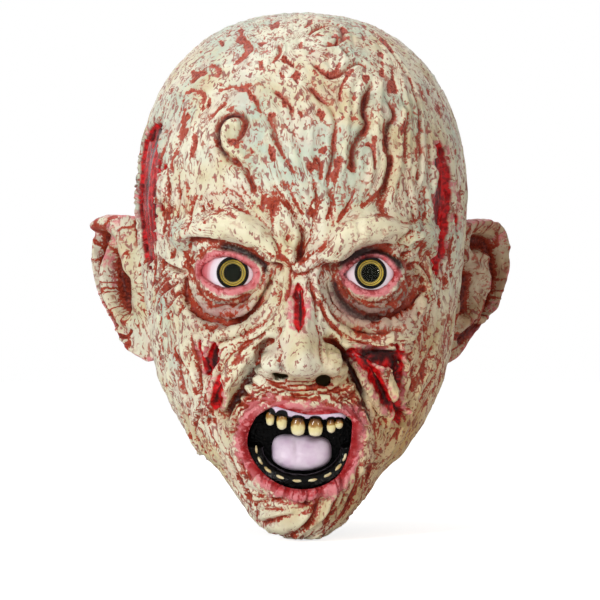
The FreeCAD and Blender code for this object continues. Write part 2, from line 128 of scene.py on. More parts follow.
def near_segment(x, z, x1, z1, x2, z2):
    """Distance from a segment, and how far along it the nearest point lies."""
    run, climb = x2 - x1, z2 - z1
    t = np.clip(((x - x1) * run + (z - z1) * climb) / (run * run + climb * climb), 0, 1)
    return np.hypot(x - x1 - t * run, z - z1 - t * climb), t


# ---- the plain form ----------------------------------------------------------------------------
def station_value(column, share):
    """Smooth value of one column of STATIONS at shares of the head's height."""
    last = len(STATIONS) - 1
    k = np.clip(np.searchsorted(STATIONS[:, 0], share, side="left") - 1, 0, last - 1)
    before, after = np.maximum(k - 1, 0), np.minimum(k + 2, last)
    at, value = STATIONS[:, 0], STATIONS[:, column]
    span = at[k + 1] - at[k]
    t = (share - at[k]) / span
    rise_here = (value[k + 1] - value[before]) / (at[k + 1] - at[before]) * span
    rise_there = np.where(k + 1 == last, 0.0, (value[after] - value[k]) / (at[after] - at[k]) * span)
    return (
        (2 * t ** 3 - 3 * t ** 2 + 1) * value[k]
        + (t ** 3 - 2 * t ** 2 + t) * rise_here
        + (3 * t ** 2 - 2 * t ** 3) * value[k + 1]
        + (t ** 3 - t ** 2) * rise_there
    )


def plan_section(z):
    """Half width, front reach, back reach and widest place of the smooth head at heights z."""
    share = np.clip(z / dome_start, 0, 1) * STATIONS[-1, 0]
    climb = np.clip((z - dome_start) / (head_height - dome_start), 0, 0.99995)
    closing = (1 - climb ** ROUNDNESS) ** (1 / ROUNDNESS)
    half = head_width / 2 * station_value(1, share) * closing
    front = face_reach * station_value(2, share) * closing
    back = back_reach * station_value(3, share) * closing
    return half, front, back, back_reach * station_value(4, share)


def mouth_distance(x, z):
    """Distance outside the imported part's oval mouth, negative inside it."""
    r = np.hypot(x / (mouth_width / 2), (z - mouth_height) / (mouth_opening / 2))
    return (r - 1) * np.hypot(x, z - mouth_height) / np.maximum(r, 0.2)


def face_relief(x, z):
    """Height of the face's large forms over the smooth head."""
    side = np.abs(x)
    eye_x = eye_spacing / 2
    low = brow_height - 11
    inner, _ = near_segment(side, z, 9, low, 25, brow_height + 1)
    outer, _ = near_segment(side, z, 25, brow_height + 1, eye_x + 2, brow_height + 7)
    end, _ = near_segment(side, z, eye_x + 2, brow_height + 7, eye_x + 26, brow_height + 2)
    rise = brow_rise * bell(np.minimum(np.minimum(inner, outer), end), 7.5)
    rise += 4.0 * bell(np.hypot(x + 1, (z - eye_height - 6) * 0.6), 5)
    rise -= 7.0 * bell(np.hypot((side - eye_x) / 1.4, z - eye_height + 2), 13)
    ring = np.hypot(side - eye_x - 1, z - eye_height + 2)
    below = ramp(eye_height - z, -6, 10)
    rise += below * (2.5 * bell(ring - 19, 3.5) - 3.5 * bell(ring - 25.5, 2.8) + 3.5 * bell(ring - 31, 3.6))
    bridge, along = near_segment(x, z, 0, eye_height + 4, 0, nose_tip_height)
    nose = (7 + (nose_reach - 7) * along ** 1.5) * bell(bridge, 8 + 4 * along)
    nose += 14.0 * bell(np.hypot(side - nose_width / 2 + 5, z - nose_tip_height + 1), 6.5)
    rise += nose * ramp(z, nose_tip_height - 13, nose_tip_height - 5)
    rise += 6.0 * bell(np.hypot(side - 50, (z - eye_height + 39) * 1.2), 15)
    nostril, corner = nose_width / 2, mouth_width / 2
    wing, _ = near_segment(side, z, nostril - 1, nose_tip_height + 9, nostril + 5, nose_tip_height - 3)
    fold, _ = near_segment(side, z, nostril + 5, nose_tip_height - 3, corner + 16, mouth_height + 16)
    cheek, _ = near_segment(side, z, nostril + 12, nose_tip_height + 3, corner + 24, mouth_height + 20)
    rise += 4.0 * bell(cheek, 5) - 4.5 * bell(np.minimum(wing, fold), 3.8)
    rise += 6.0 * bell(np.hypot(x / 1.25, z - mouth_height - 2), 30)
    rise += lip_rise * bell(mouth_distance(x, z) - 3.0, 4.2)
    rise += chin_rise * bell(np.hypot(x, (z - 12) * 1.3), 15)
    return rise


def over_eyeball(x, y, z, offset):
    """Pulls the face forward over the eyeball, as the lids lie on it."""
    lid = eye_radius + lid_seat + offset
    dx, dz = np.abs(x) - eye_spacing / 2, z - eye_height
    inside = lid * lid - dx * dx - dz * dz
    ball = -eye_depth - np.sqrt(np.maximum(inside, 0))
    blend = 3.0
    gap = np.maximum(blend - np.abs(y - ball), 0) / blend
    over = np.minimum(y, ball) - gap * gap * blend / 4
    return np.where((y < 0) & (inside > 0), over, y)


def form_points(angle, z, offset=0.0):
    """Points of the plain form at angles round the section (0 faces -Y) and heights z, offset outwards."""
    half, front, back, middle = plan_section(z)
    s, c = np.sin(angle), np.cos(angle)
    reach = np.where(c > 0, front + middle, back - middle)
    x = half * np.sign(s) * np.abs(s) ** (2 / ROUNDNESS)
    y = middle - reach * np.sign(c) * np.abs(c) ** (2 / ROUNDNESS)
    nx, ny = s / half, -c / np.maximum(reach, 1.0)
    length = np.hypot(nx, ny)
    rise = offset + np.where(c > 0, face_relief(x, z), 0.0)
    x = x + nx / length * rise
    y = y + ny / length * rise
    lift = offset * (z / head_height * 2 - 1)
    return np.stack([x, over_eyeball(x, y, z, offset), z + lift + 0 * x], -1)


# ---- the sculpting grid ------------------------------------------------------------------------
columns = 384
rows = 266


def grid_angles():
    """Angles of the columns, closer together over the face, from the nape round to the nape."""
    share = np.arange(columns) / (columns / 2) - 1
    return np.sign(share) * math.pi * (0.40 * np.abs(share) + 0.60 * share ** 2)


def hem_height(y):
    """Height of the slanting hem at a depth y."""
    return np.interp(y, [-hem_front, -50, -40, -20, 0, 20, 40, 60, 80, 150],
                     [-1.0, 6.5, 14.0, 26.0, 36.0, 44.0, hem_nape - 4, hem_nape - 1, hem_nape, hem_nape])


def grid_heights():
    """Heights of the rows at the front, evenly spaced along the profile beside the nose."""
    z = np.linspace(0.0, head_height - 0.35, 6000)
    line = form_points(np.full_like(z, 0.07), z)
    plain = form_points(np.full_like(z, 1.2), z)
    beside_nose = np.hypot(np.diff(line[:, 1]), np.diff(line[:, 2]))
    step = beside_nose + 0.6 * np.linalg.norm(np.diff(plain, axis=0), axis=1)
    length = np.concatenate([[0], np.cumsum(step)])
    return np.interp(np.linspace(0, length[-1], rows), length, z)


def grid_points():
    """The plain form on the grid, its lowest row on the hem or on the chin's underside."""
    angle = grid_angles()[:, None]
    height = grid_heights()[None, :]
    trial = np.linspace(0, 80, 400)[None, :] + 0 * angle
    points = form_points(angle + 0 * trial, trial)
    above = points[..., 2] - hem_height(points[..., 1])
    crossing = np.where(above < 0, trial, 0.0).max(axis=1)[:, None]
    z = np.where(height < 150, crossing + height * (150.0 - crossing) / 150.0, height)
    return form_points(angle + 0 * z, z), crossing[:, 0]


def grid_frame(points):
    """Unit direction round, unit direction up, outward normal, and the mesh steps, at each grid point."""
    along = (np.roll(points, -1, 0) - np.roll(points, 1, 0)) / 2
    up = np.gradient(points, axis=1)
    normal = np.cross(along, up)
    normal /= np.maximum(np.linalg.norm(normal, axis=-1, keepdims=True), 1e-9)
    e1 = along / np.maximum(np.linalg.norm(along, axis=-1, keepdims=True), 1e-9)
    e2 = np.cross(normal, e1)
    return e1, e2, normal, along, up


def cloud(points, size, seed):
    """Smooth random lumps of about a given size in millimetres, from -1 to 1."""
    maker = np.random.default_rng(seed)
    low = points.reshape(-1, 3).min(0) - size
    place = (points - low) / size
    count = place.reshape(-1, 3).max(0).astype(int) + 3
    lattice = maker.random(count) * 2 - 1
    cell = np.floor(place).astype(int)
    t = place - cell
    t = t * t * (3 - 2 * t)
    total = 0.0
    for corner in np.ndindex(2, 2, 2):
        share = np.prod([t[..., k] if corner[k] else 1 - t[..., k] for k in range(3)], axis=0)
        total = total + share * lattice[tuple(cell[..., k] + corner[k] for k in range(3))]
    return total


def sample(field, u, v):
    """Value of a grid field between its points."""
    u0 = np.floor(u).astype(int)
    v = np.clip(v, 0, rows - 1.001)
    v0 = np.floor(v).astype(int)
    fu, fv = u - u0, v - v0
    a, b = u0 % columns, (u0 + 1) % columns
    return ((1 - fu) * (1 - fv) * field[a, v0] + fu * (1 - fv) * field[b, v0]
            + (1 - fu) * fv * field[a, v0 + 1] + fu * fv * field[b, v0 + 1])


def comb(field, flow_u, flow_v, reach, step):
    """Smears a grid field along the flow, as a wire brush drags clay, reach millimetres each way."""
    u_start, v_start = np.meshgrid(np.arange(columns), np.arange(rows), indexing="ij")
    total, weights = field.copy(), 1.0
    for sign in (1, -1):
        u, v = u_start.astype(float), v_start.astype(float)
        last_u, last_v = sign * flow_u, sign * flow_v
        for n in range(int(reach / step)):
            du, dv = sample(flow_u, u, v), sample(flow_v, u, v)
            turn = np.where(du * last_u + dv * last_v < 0, -1.0, 1.0)
            last_u, last_v = du * turn, dv * turn
            u, v = u + last_u * step, v + last_v * step
            share = 1 - n * step / reach
            total += share * sample(field, u, v)
            weights += share
    return total / weights


# ---- what is drawn on the form -----------------------------------------------------------------
# A row is (kind, half width, height, points of each stroke). Front strokes are drawn as the camera sees
# them, across and up on the upright plane through the origin. Side strokes are drawn from one side, in depth
# and height. A crease is cut in and stained red, a fold stands up, a pit is a flat red hollow, a gash
# is an open wound, and a grain line only turns the wrinkles near it.
# A shade stroke is painted shade: a dark wash under brows, along lids and folds, in a nostril and in wounds,
# where shadow falls.
FRONT_STROKES = [
    # sinews from the temples down the sides to the jaw and chin
    ("grain", 9, 1, [(-80, 200), (-84, 160), (-82, 120), (-70, 80), (-48, 40), (-22, 8)],
     [(-66, 200), (-72, 172), (-76, 140), (-72, 110), (-60, 76), (-42, 40)],
     [(80, 205), (80, 165), (80, 125), (68, 80), (48, 40), (26, 8)],
     [(66, 200), (70, 172), (74, 140), (70, 105), (58, 70), (44, 40)]),
    ("grain", 7, 1, [(-53, 116), (-52, 96), (-56, 76), (-46, 52)],
     [(-30, 240), (-26, 220), (-20, 200), (-14, 182)], [(24, 240), (20, 220), (16, 200), (12, 184)]),
    ("grain", 6, 1, [(-4, 118), (-3, 104), (-1, 94)]),
    # brow's lower edges, the folds over them and the knot between them
    ("crease", 3.4, 4.2, [(-66, 163), (-60, 167), (-45, 165), (-30, 160), (-19, 153), (-9, 152)],
     [(10, 152), (21, 152), (32, 158), (46, 162), (56, 159)]),
    ("fold", 4.4, 3.4, [(-54, 174), (-40, 173), (-27, 167), (-16, 159), (-10, 156)],
     [(12, 156), (23, 161), (36, 169), (52, 170)]),
    ("fold", 6.0, 2.6, [(-62, 178), (-46, 180), (-30, 173), (-15, 163)],
     [(14, 163), (28, 173), (44, 177), (60, 176)]),
    ("crease", 2.2, 3.4, [(-3, 152), (-1, 160), (1, 170), (-2, 178)]),
    ("crease", 1.4, 1.8, [(-17, 200), (-10, 191), (-2, 178)]),
    ("crease", 1.2, 1.4, [(-7, 197), (-3, 188), (2, 180)]),
    ("crease", 1.3, 1.6, [(7, 178), (9, 190), (6, 204)]),
    ("crease", 1.2, 1.4, [(13, 176), (17, 187), (16, 199)]),
    ("pit", 1.8, 1.0, [(-9, 166), (-7, 172)]),
    ("pit", 1.4, 0.9, [(20, 176), (24, 184), (30, 190)], [(33, 186), (42, 192), (47, 199)]),
    ("pit", 1.3, 0.9, [(-42, 190), (-36, 185), (-30, 183)]),
    ("crease", 1.5, 2.6, [(-8, 151), (-4, 147), (3, 148), (8, 151)]),
    ("crease", 1.4, 2.4, [(-7, 146), (-7, 138), (-10, 130)], [(5, 147), (6, 138), (8, 130), (9, 120)]),
    ("smooth", 7.0, 0.9, [(-18, 106), (-24, 97), (-32, 85), (-40, 72), (-46, 60)],
     [(17, 108), (24, 99), (32, 85), (38, 69), (42, 56)]),
    ("smooth", 9.0, 0.8, [(-24, 84), (-10, 80), (4, 79), (20, 82)]),
    # eye bags: the bag's ring, the ridge round it and the groove outside that, with painted shade along the
    # left bag
    ("crease", 1.2, 1.8, [(-56, 139), (-43, 132), (-29, 136), (-21, 145)]),
    ("crease", 2.2, 3.4, [(-67, 150), (-66, 135), (-60, 125), (-46, 119), (-34, 121), (-25, 128),
      (-20, 138), (-14, 146)]),
    ("fold", 2.8, 2.6, [(-52, 113), (-43, 114), (-34, 116), (-23, 125), (-15, 134), (-12, 149)]),
    ("crease", 1.6, 2.4, [(-50, 108), (-38, 110), (-23, 118), (-14, 129), (-10, 142)]),
    ("fold", 2.4, 2.0, [(-40, 106), (-29, 111), (-18, 119), (-11, 128)]),
    ("crease", 1.3, 2.0, [(-37, 104), (-25, 111), (-15, 117), (-10, 113)]),
    ("crease", 1.8, 2.6, [(17, 149), (21, 138), (28, 129), (38, 123), (50, 123), (59, 130), (62, 140),
      (60, 150)]),
    ("shade", 5.0, 0.55, [(19, 146), (24, 135), (32, 127), (44, 124), (56, 129)]),
    ("crease", 2.0, 3.2, [(11, 142), (13, 134), (20, 123), (31, 116), (42, 114), (51, 116), (60, 115)]),
    ("fold", 2.8, 2.4, [(15, 140), (19, 130), (28, 121), (40, 118), (52, 120), (62, 126)]),
    ("fold", 3.0, 2.4, [(16, 113), (28, 108), (42, 107), (56, 109), (66, 112)]),
    ("crease", 1.4, 2.2, [(9, 134), (15, 121), (24, 112), (35, 108), (48, 110)],
     [(55, 125), (61, 128), (66, 135), (72, 139), (76, 132), (75, 125)]),
    ("crease", 1.4, 2.0, [(63, 121), (68, 116), (67, 108)]),
    # sockets: bruised bags, bruises and painted shadow under the brows, lids' rims
    ("bruise", 7.5, 0.9, [(-62, 136), (-55, 127), (-44, 124), (-33, 126), (-24, 134)]),
    ("bruise", 6.0, 0.8, [(-20, 152), (-18, 145), (-20, 137)]),
    ("rust", 3.0, 0.7, [(-66, 150), (-65, 138), (-60, 128), (-50, 121), (-38, 120)],
     [(-60, 157), (-52, 163), (-42, 164)]),
    ("shade", 2.0, 0.95, [(-50, 162.5), (-43, 163), (-36, 161), (-29, 157.5), (-22, 152), (-19, 146)]),
    ("shade", 1.6, 0.6, [(-54, 134), (-46, 131), (-36, 131), (-27, 137)]),
    ("bruise", 8.5, 1.0, [(60, 150), (61, 138), (55, 128), (44, 123), (32, 124), (22, 133), (18, 145)]),
    ("bruise", 7.0, 1.0, [(20, 150), (30, 160), (42, 162), (54, 157)]),
    ("rust", 3.4, 0.8, [(64, 146), (63, 134), (56, 124), (44, 119)]),
    ("shade", 2.8, 1.0, [(20, 149), (27, 156), (36, 160), (46, 160.5), (55, 155), (59, 147)]),
    ("shade", 2.6, 0.85, [(18, 148), (20, 138), (27, 128), (38, 122), (50, 122)]),
    ("shade", 1.6, 0.6, [(57, 146), (54, 137), (46, 132), (36, 132)]),
    ("crease", 0.8, 1.3, [(-63, 140), (-55, 131), (-45, 127.5), (-34, 128.5), (-26, 134)]),
    ("crease", 0.8, 1.2, [(-64, 134), (-56, 126.5), (-47, 124), (-38, 124.5)]),
    ("crease", 0.7, 1.1, [(-60, 129), (-54, 128), (-48, 130.5)], [(-50, 121.5), (-44, 127), (-38, 128.5)],
     [(-42, 121.5), (-36, 126.5), (-29, 129)]),
    ("crease", 0.8, 1.3, [(22, 141), (28, 133), (36, 129), (46, 129), (55, 134)]),
    ("crease", 0.8, 1.2, [(36, 124.5), (45, 125), (54, 129), (58, 135)]),
    ("crease", 0.7, 1.1, [(42, 130.5), (48, 127), (50, 123.5)], [(50, 132), (54, 128.5), (56, 124.5)]),
    # crow's feet
    ("crease", 1.4, 2.4, [(-66, 149), (-75, 151), (-80, 156)],
     [(-69, 144), (-75, 141), (-82, 134), (-82, 124)], [(-68, 139), (-73, 134), (-77, 128), (-76, 119)]),
    ("crease", 1.2, 2.0, [(-66, 132), (-70, 126), (-70, 116)]),
    ("crease", 1.4, 2.2, [(-78, 154), (-72, 150), (-66, 147)]),
    ("crease", 1.2, 2.0, [(-77, 149), (-86, 141)]),
    ("crease", 1.2, 1.8, [(-71, 162), (-63, 156)]),
    ("crease", 1.4, 2.4, [(48, 163), (57, 167), (66, 174)], [(57, 158), (63, 161), (70, 165)]),
    ("crease", 1.2, 2.0, [(60, 152), (67, 154), (72, 150)], [(61, 145), (68, 146), (73, 142)]),
    ("fold", 1.8, 1.6, [(58, 163), (66, 168), (72, 170)]),
    # folds down the temples and sides
    ("crease", 1.1, 1.6, [(-78, 204), (-77, 186), (-76, 171)],
     [(-71, 208), (-71, 190), (-71, 173), (-67, 166)]),
    ("crease", 1.0, 1.4, [(-65, 200), (-65, 186), (-64, 172)]),
    ("fold", 3.4, 2.8, [(-82, 127), (-78, 111), (-76, 96), (-73, 79)]),
    ("crease", 1.6, 2.8, [(-89, 130), (-85, 116), (-81, 101), (-78, 87), (-73, 73), (-62, 54)]),
    ("crease", 2.0, 3.0, [(-74, 116), (-73, 101), (-70, 89), (-66, 77), (-64, 70)]),
    ("crease", 2.4, 3.4, [(-65, 116), (-63, 106), (-60, 94), (-58, 82), (-58, 72)]),
    ("crease", 1.5, 2.4, [(-56, 71), (-60, 64), (-61, 55), (-54, 42)]),
    ("crease", 1.3, 2.2, [(-54, 68), (-52, 58), (-47, 46)]),
    ("fold", 2.4, 2.0, [(-69, 112), (-66, 98), (-62, 84), (-61, 74)]),
    ("fold", 2.6, 2.2, [(-68, 66), (-60, 48), (-48, 30), (-36, 14)]),
    ("crease", 1.4, 2.4, [(-66, 60), (-56, 43), (-44, 26), (-34, 12)]),
    ("crease", 1.4, 2.2, [(80, 138), (78, 118), (73, 100), (66, 84), (58, 68)],
     [(74, 120), (71, 106), (66, 92), (62, 78), (60, 62)]),
    ("crease", 1.6, 2.6, [(84, 112), (78, 96), (71, 80), (62, 64), (54, 48)]),
    ("fold", 2.4, 2.2, [(78, 116), (74, 98), (66, 80), (58, 62), (50, 44)]),
    ("fold", 2.0, 1.6, [(84, 150), (83, 130), (80, 112)]),
    # nostril wings and the folds from the nose round the mouth, with painted shade in the folds and the
    # right nostril
    ("crease", 2.2, 3.6, [(-15, 109), (-19, 109), (-23, 104), (-24, 97), (-21, 90)],
     [(12, 110), (17, 109), (22, 104), (24, 97), (21, 90)]),
    ("shade", 3.4, 0.8, [(-20, 104), (-24, 95), (-32, 83), (-39, 72), (-45, 62)]),
    ("crease", 2.8, 1.0, [(-19, 108), (-22, 103), (-26, 94), (-34, 82), (-40, 71), (-46, 62)]),
    ("fold", 4.4, 3.2, [(-24, 110), (-31, 102), (-38, 92), (-47, 80), (-54, 66)]),
    ("shade", 3.4, 0.85, [(19, 107), (26, 98), (33, 82), (38, 66), (42, 58)]),
    ("crease", 2.8, 1.0, [(15, 109), (20, 107), (26, 98), (33, 82), (38, 66), (42, 56)]),
    ("fold", 3.6, 3.0, [(24, 111), (31, 102), (37, 88), (42, 74), (45, 60)]),
    ("shade", 2.4, 1.0, [(-16, 95), (-12, 94), (-8, 92)]),
    ("smooth", 8.0, 0.9, [(-20, 108), (-20, 95)], [(20, 108), (20, 95)]),
    ("fold", 5.0, 1.8, [(-16, 106), (-19, 100), (-18, 94)], [(16, 106), (19, 100), (18, 93)]),
    ("fold", 3.4, 2.0, [(-6, 124), (-9, 112), (-12, 104)]),
    ("crease", 1.3, 1.8, [(-10, 118), (-13, 110), (-12, 102), (-14, 95)],
     [(8, 120), (11, 111), (11, 102), (13, 95)]),
    # bowed wrinkles of the upper lip
    ("crease", 1.5, 1.9, [(-31, 86), (-22, 80), (-11, 77), (1, 76)],
     [(-27, 92), (-18, 85), (-8, 81), (0, 80)]),
    ("crease", 1.4, 1.7, [(-35, 80), (-25, 74.5), (-14, 73), (-4, 73)]),
    ("crease", 1.5, 1.9, [(2, 76), (12, 77), (22, 81), (29, 88)], [(1, 81), (9, 83), (17, 86), (24, 92)]),
    ("crease", 1.4, 1.7, [(4, 72), (15, 72.5), (26, 75), (32, 81)]),
    ("fold", 2.0, 1.8, [(-33, 83), (-24, 77.5), (-13, 75), (-2, 74.5)],
     [(3, 74.5), (13, 75), (24, 78), (31, 84)]),
    ("crease", 1.2, 1.8, [(-38, 77), (-34, 71), (-29, 69)], [(32, 78), (34, 72), (33, 66)]),
    ("rust", 2.6, 0.6, [(-34, 79), (-28, 73), (-20, 71)], [(22, 71), (30, 72), (34, 78)]),
    # lips
    ("fold", 3.4, 2.4, [(-28, 72), (-18, 77), (-6, 74), (6, 72), (22, 74), (30, 70)]),
    ("fold", 3.6, 2.6, [(-33, 66), (-34, 54), (-30, 40), (-21, 29), (-6, 22), (10, 23), (22, 30), (30, 42),
      (32, 56), (31, 66)]),
    ("rust", 3.2, 0.62, [(-32, 65), (-34, 56), (-32, 45), (-27, 37)]),
    ("rust", 3.2, 0.72, [(30, 67), (32, 58), (31, 47), (27, 38)]),
    ("crease", 1.0, 1.6, [(-38, 64), (-35, 60), (-30, 59)], [(-40, 57), (-36, 54), (-31, 53)],
     [(-38, 48), (-34, 47), (-29, 47)], [(-33, 38), (-30, 40), (-26, 42)]),
    ("crease", 0.9, 1.5, [(-24, 27), (-22, 31), (-20, 35)], [(-16, 22), (-15, 26), (-13, 31)],
     [(-8, 19), (-8, 23), (-7, 28)], [(1, 19), (1, 23), (1, 27)], [(9, 20), (9, 24), (8, 28)],
     [(18, 23), (16, 27), (14, 31)]),
    ("crease", 1.0, 1.6, [(27, 31), (24, 35), (21, 38)], [(35, 44), (31, 45), (28, 47)],
     [(37, 56), (33, 56), (29, 56)]),
    ("fold", 2.6, 2.4, [(34, 72), (37, 59), (35, 46)]),
    # chin: long folds swept up to the right
    ("crease", 1.3, 2.0, [(-28, 15), (-10, 17.6), (6, 13)]),
    ("crease", 1.2, 1.8, [(-25, 11), (-10, 11.4), (1, 13)]),
    ("crease", 1.6, 2.2, [(-23, 3), (-12, 6.5), (-5, 9), (0, 12)]),
    ("crease", 1.5, 2.2, [(-17, -3), (-6, -3), (2, 2), (8, 10), (10, 16)]),
    ("crease", 1.4, 2.2, [(-5, -6), (6, 0), (15, 8), (20, 19), (24, 31), (29, 41)]),
    ("crease", 1.3, 2.0, [(6, -5), (15, 0), (24, 10), (29, 23), (33, 37)],
     [(20, 0), (29, 12), (34, 25), (38, 41)]),
    ("fold", 2.2, 2.0, [(-25, 7), (-10, 9.5), (4, 10)]),
    ("fold", 2.4, 2.2, [(-20, 0), (-8, 1.5), (2, 7), (6, 14)]),
    ("fold", 2.2, 2.0, [(-10, -4), (3, -2), (12, 6), (17, 18), (20, 28)]),
    ("crease", 1.3, 2.0, [(-36, 41), (-32, 29), (-27, 16), (-24, 6)],
     [(-42, 45), (-37, 32), (-33, 22), (-29, 13)], [(-38, 64), (-40, 54), (-38, 45)],
     [(38, 55), (41, 47), (45, 41), (42, 30)]),
    ("crease", 1.2, 1.8, [(-20, 19), (-8, 15), (2, 16)]),
    ("crease", 1.1, 1.6, [(-29, 24), (-22, 20), (-14, 18)], [(12, 3), (21, 14), (27, 28)],
     [(25, 4), (34, 18), (39, 33)]),
    ("rust", 3.0, 0.5, [(-10, -4), (2, 2), (10, 11)]),
    ("smooth", 3.6, 0.9, [(-24, 7), (-10, 9.5), (2, 10)]),
    ("smooth", 4.4, 0.9, [(-18, 0), (-8, 2), (1, 7), (5, 13)]),
    ("smooth", 3.6, 0.8, [(-6, -3), (4, -1), (12, 7), (17, 18)]),
    # the hook on the brow's left and the lines of the forehead, with painted shade along the hook and two
    # creases
    ("crease", 2.0, 3.0, [(-40, 228), (-37, 226), (-34, 231), (-33, 236), (-37, 240), (-45, 238),
      (-49, 230), (-48, 221), (-43, 215), (-36, 211), (-30, 202), (-27, 192)]),
    ("fold", 1.9, 2.0, [(-36, 232), (-40, 235), (-44, 230), (-43, 222), (-38, 218), (-31, 212)]),
    ("shade", 1.5, 0.75, [(-34, 239), (-40, 240), (-46, 237), (-49, 229), (-47, 220), (-43, 215)]),
    ("pit", 2.6, 1.0, [(-36, 284), (-30, 279), (-33, 274), (-40, 268)]),
    ("pit", 2.0, 1.0, [(-53, 269), (-48, 266), (-49, 260)]),
    ("pit", 1.8, 1.0, [(-68, 252), (-62, 254), (-57, 251), (-57, 245)]),
    ("pit", 1.6, 1.0, [(-67, 244), (-70, 234)]),
    ("pit", 2.0, 1.0, [(-62, 230), (-64, 214)]),
    ("pit", 1.8, 1.0, [(-71, 220), (-75, 213), (-74, 204)]),
    ("pit", 1.6, 1.0, [(-24, 272), (-23, 265)]),
    ("crease", 1.4, 1.8, [(-13, 281), (-13, 275), (-18, 269)]),
    ("crease", 1.3, 1.8, [(-13, 272), (-6, 270), (0, 264)]),
    ("crease", 1.6, 2.0, [(-17, 255), (-11, 250), (-6, 244), (-5, 236)]),
    ("crease", 1.4, 2.0, [(-21, 240), (-17, 234), (-14, 223), (-8, 212), (-3, 204)]),
    ("crease", 1.3, 1.8, [(-26, 250), (-25, 243), (-22, 240)]),
    ("pit", 1.8, 1.0, [(-53, 237), (-49, 242), (-43, 248)]),
    ("pit", 1.4, 0.9, [(-49, 254), (-38, 256), (-27, 257)]),
    ("crease", 1.2, 1.6, [(0, 245), (3, 239)]),
    ("crease", 1.5, 2.0, [(3, 286), (11, 291), (22, 291), (24, 284), (20, 281), (13, 280)]),
    ("crease", 1.3, 1.8, [(23, 280), (29, 273)]),
    ("crease", 1.6, 2.2, [(6, 270), (18, 262), (28, 268), (33, 270), (40, 266)],
     [(4, 258), (10, 250), (17, 244), (20, 236), (19, 226), (18, 214), (14, 200)]),
    ("pit", 1.8, 1.0, [(22, 239), (28, 237), (33, 238)]),
    ("crease", 2.2, 3.0, [(42, 259), (38, 252), (36, 243), (38, 234), (33, 226), (30, 217), (31, 205)]),
    ("shade", 3.0, 0.5, [(42, 256), (37, 243), (34, 228)]),
    ("crease", 2.2, 3.0, [(50, 249), (54, 239), (50, 232), (50, 225), (52, 213), (50, 202), (46, 190)]),
    ("shade", 2.8, 0.5, [(53, 240), (50, 230), (51, 216)]),
    ("crease", 1.5, 2.0, [(40, 288), (52, 276), (57, 269), (61, 263)]),
    ("crease", 1.6, 2.2, [(64, 256), (68, 243), (69, 226), (69, 213), (67, 200)]),
    ("crease", 1.3, 1.8, [(58, 250), (61, 238), (60, 224), (61, 208)]),
    ("crease", 1.4, 2.0, [(7, 217), (11, 210), (11, 200)]),
    ("crease", 1.2, 1.6, [(43, 235), (46, 230)], [(35, 222), (40, 222), (42, 212)]),
    ("pit", 1.3, 0.9, [(69, 254), (71, 247)]),
    ("crease", 1.3, 1.8, [(70, 268), (75, 261)]),
    ("fold", 2.2, 1.8, [(46, 262), (45, 248), (44, 236), (42, 222), (40, 208), (38, 194)]),
    ("fold", 2.0, 1.6, [(28, 262), (27, 248), (26, 232), (24, 216), (22, 202)],
     [(58, 262), (60, 246), (57, 230), (57, 214)]),
    ("fold", 2.0, 1.4, [(-10, 262), (-2, 254), (4, 242), (6, 228), (4, 212)]),
    ("fold", 2.2, 1.6, [(-30, 262), (-20, 250), (-12, 236), (-6, 222), (0, 208)]),
    ("pit", 1.8, 0.9, [(-58, 188), (-57, 183)]),
    ("pit", 1.6, 0.9, [(-49, 185), (-43, 183), (-37, 177)]),
    ("pit", 1.2, 0.8, [(-57, 179), (-54, 175)]),
    ("mint", 12, 1, [(-45, 262), (-32, 250), (-26, 225), (-18, 205), (-10, 190)]),
    ("mint", 9, 1, [(10, 285), (30, 276), (46, 262)], [(-82, 150), (-80, 125), (-75, 100), (-70, 80)]),
    ("mint", 8, 1, [(20, 200), (34, 195), (50, 196)]),
    ("mint", 6, 1, [(-94, 150), (-92, 140)]),
    # open wounds: nose, cheeks, temples, with painted shade in their trenches and under the cheekbone
    ("rose", 6.5, 0.75, [(-2, 143), (-2, 130), (-2, 116)]),
    ("gash", 4.0, 3.6, [(-2.2, 142), (-1.9, 133), (-1.7, 125), (-1.9, 115)]),
    ("shade", 1.3, 0.8, [(-2.2, 136), (-1.2, 129), (-2.2, 121)]),
    ("gash", 3.4, 3.8, [(-60, 109), (-57, 98), (-54, 89)], [(-50, 109), (-52, 98), (-53, 89)]),
    ("gash", 4.2, 4.0, [(-48, 90), (-49, 80), (-50, 68)]),
    ("gash", 4.0, 3.8, [(29, 103), (37, 96), (45, 84), (53, 66)]),
    ("gash", 5.2, 4.4, [(55, 107), (56, 92), (56, 78), (57, 61)]),
    ("gash", 5.0, 4.2, [(28, 101), (38, 100), (48, 99), (61, 101)]),
    ("fold", 1.8, 1.8, [(43, 95), (46, 87), (50, 76)]),
    ("rust", 3.2, 0.55, [(42, 97), (46, 87), (51, 74)]),
    ("shade", 3.2, 1.0, [(55, 102), (55, 88), (56, 70)]),
    ("shade", 2.6, 1.0, [(30, 103), (40, 103), (50, 102), (58, 104)]),
    ("shade", 2.6, 0.95, [(-49, 84), (-49.5, 74)]),
    ("shade", 2.2, 0.8, [(-55, 100), (-54, 92)]),
]
# Side strokes start with the side they are on.
SIDE_STROKES = [
    (-1, "gash", 30.0, 4.2, [(-53, 229), (-40, 207), (-35, 185), (-35, 152)]),
    (1, "gash", 10.0, 4.2, [(-64, 224), (-65, 200), (-64, 175), (-62, 147)]),
    (1, "gash", 4.6, 3.6, [(-45, 195), (-45, 182), (-44, 169)]),
    (1, "shade", 3.2, 0.7, [(-66, 216), (-66, 190), (-65, 165)]),
]
# Marks without relief, and the field that each one paints: washes of paint, and painted shade for the shade
# kind.
SOFT_KINDS = {
    "smooth": "calm", "mint": "mint", "shade": "dark", "bruise": "bruise", "rose": "pink", "rust": "stain",
}


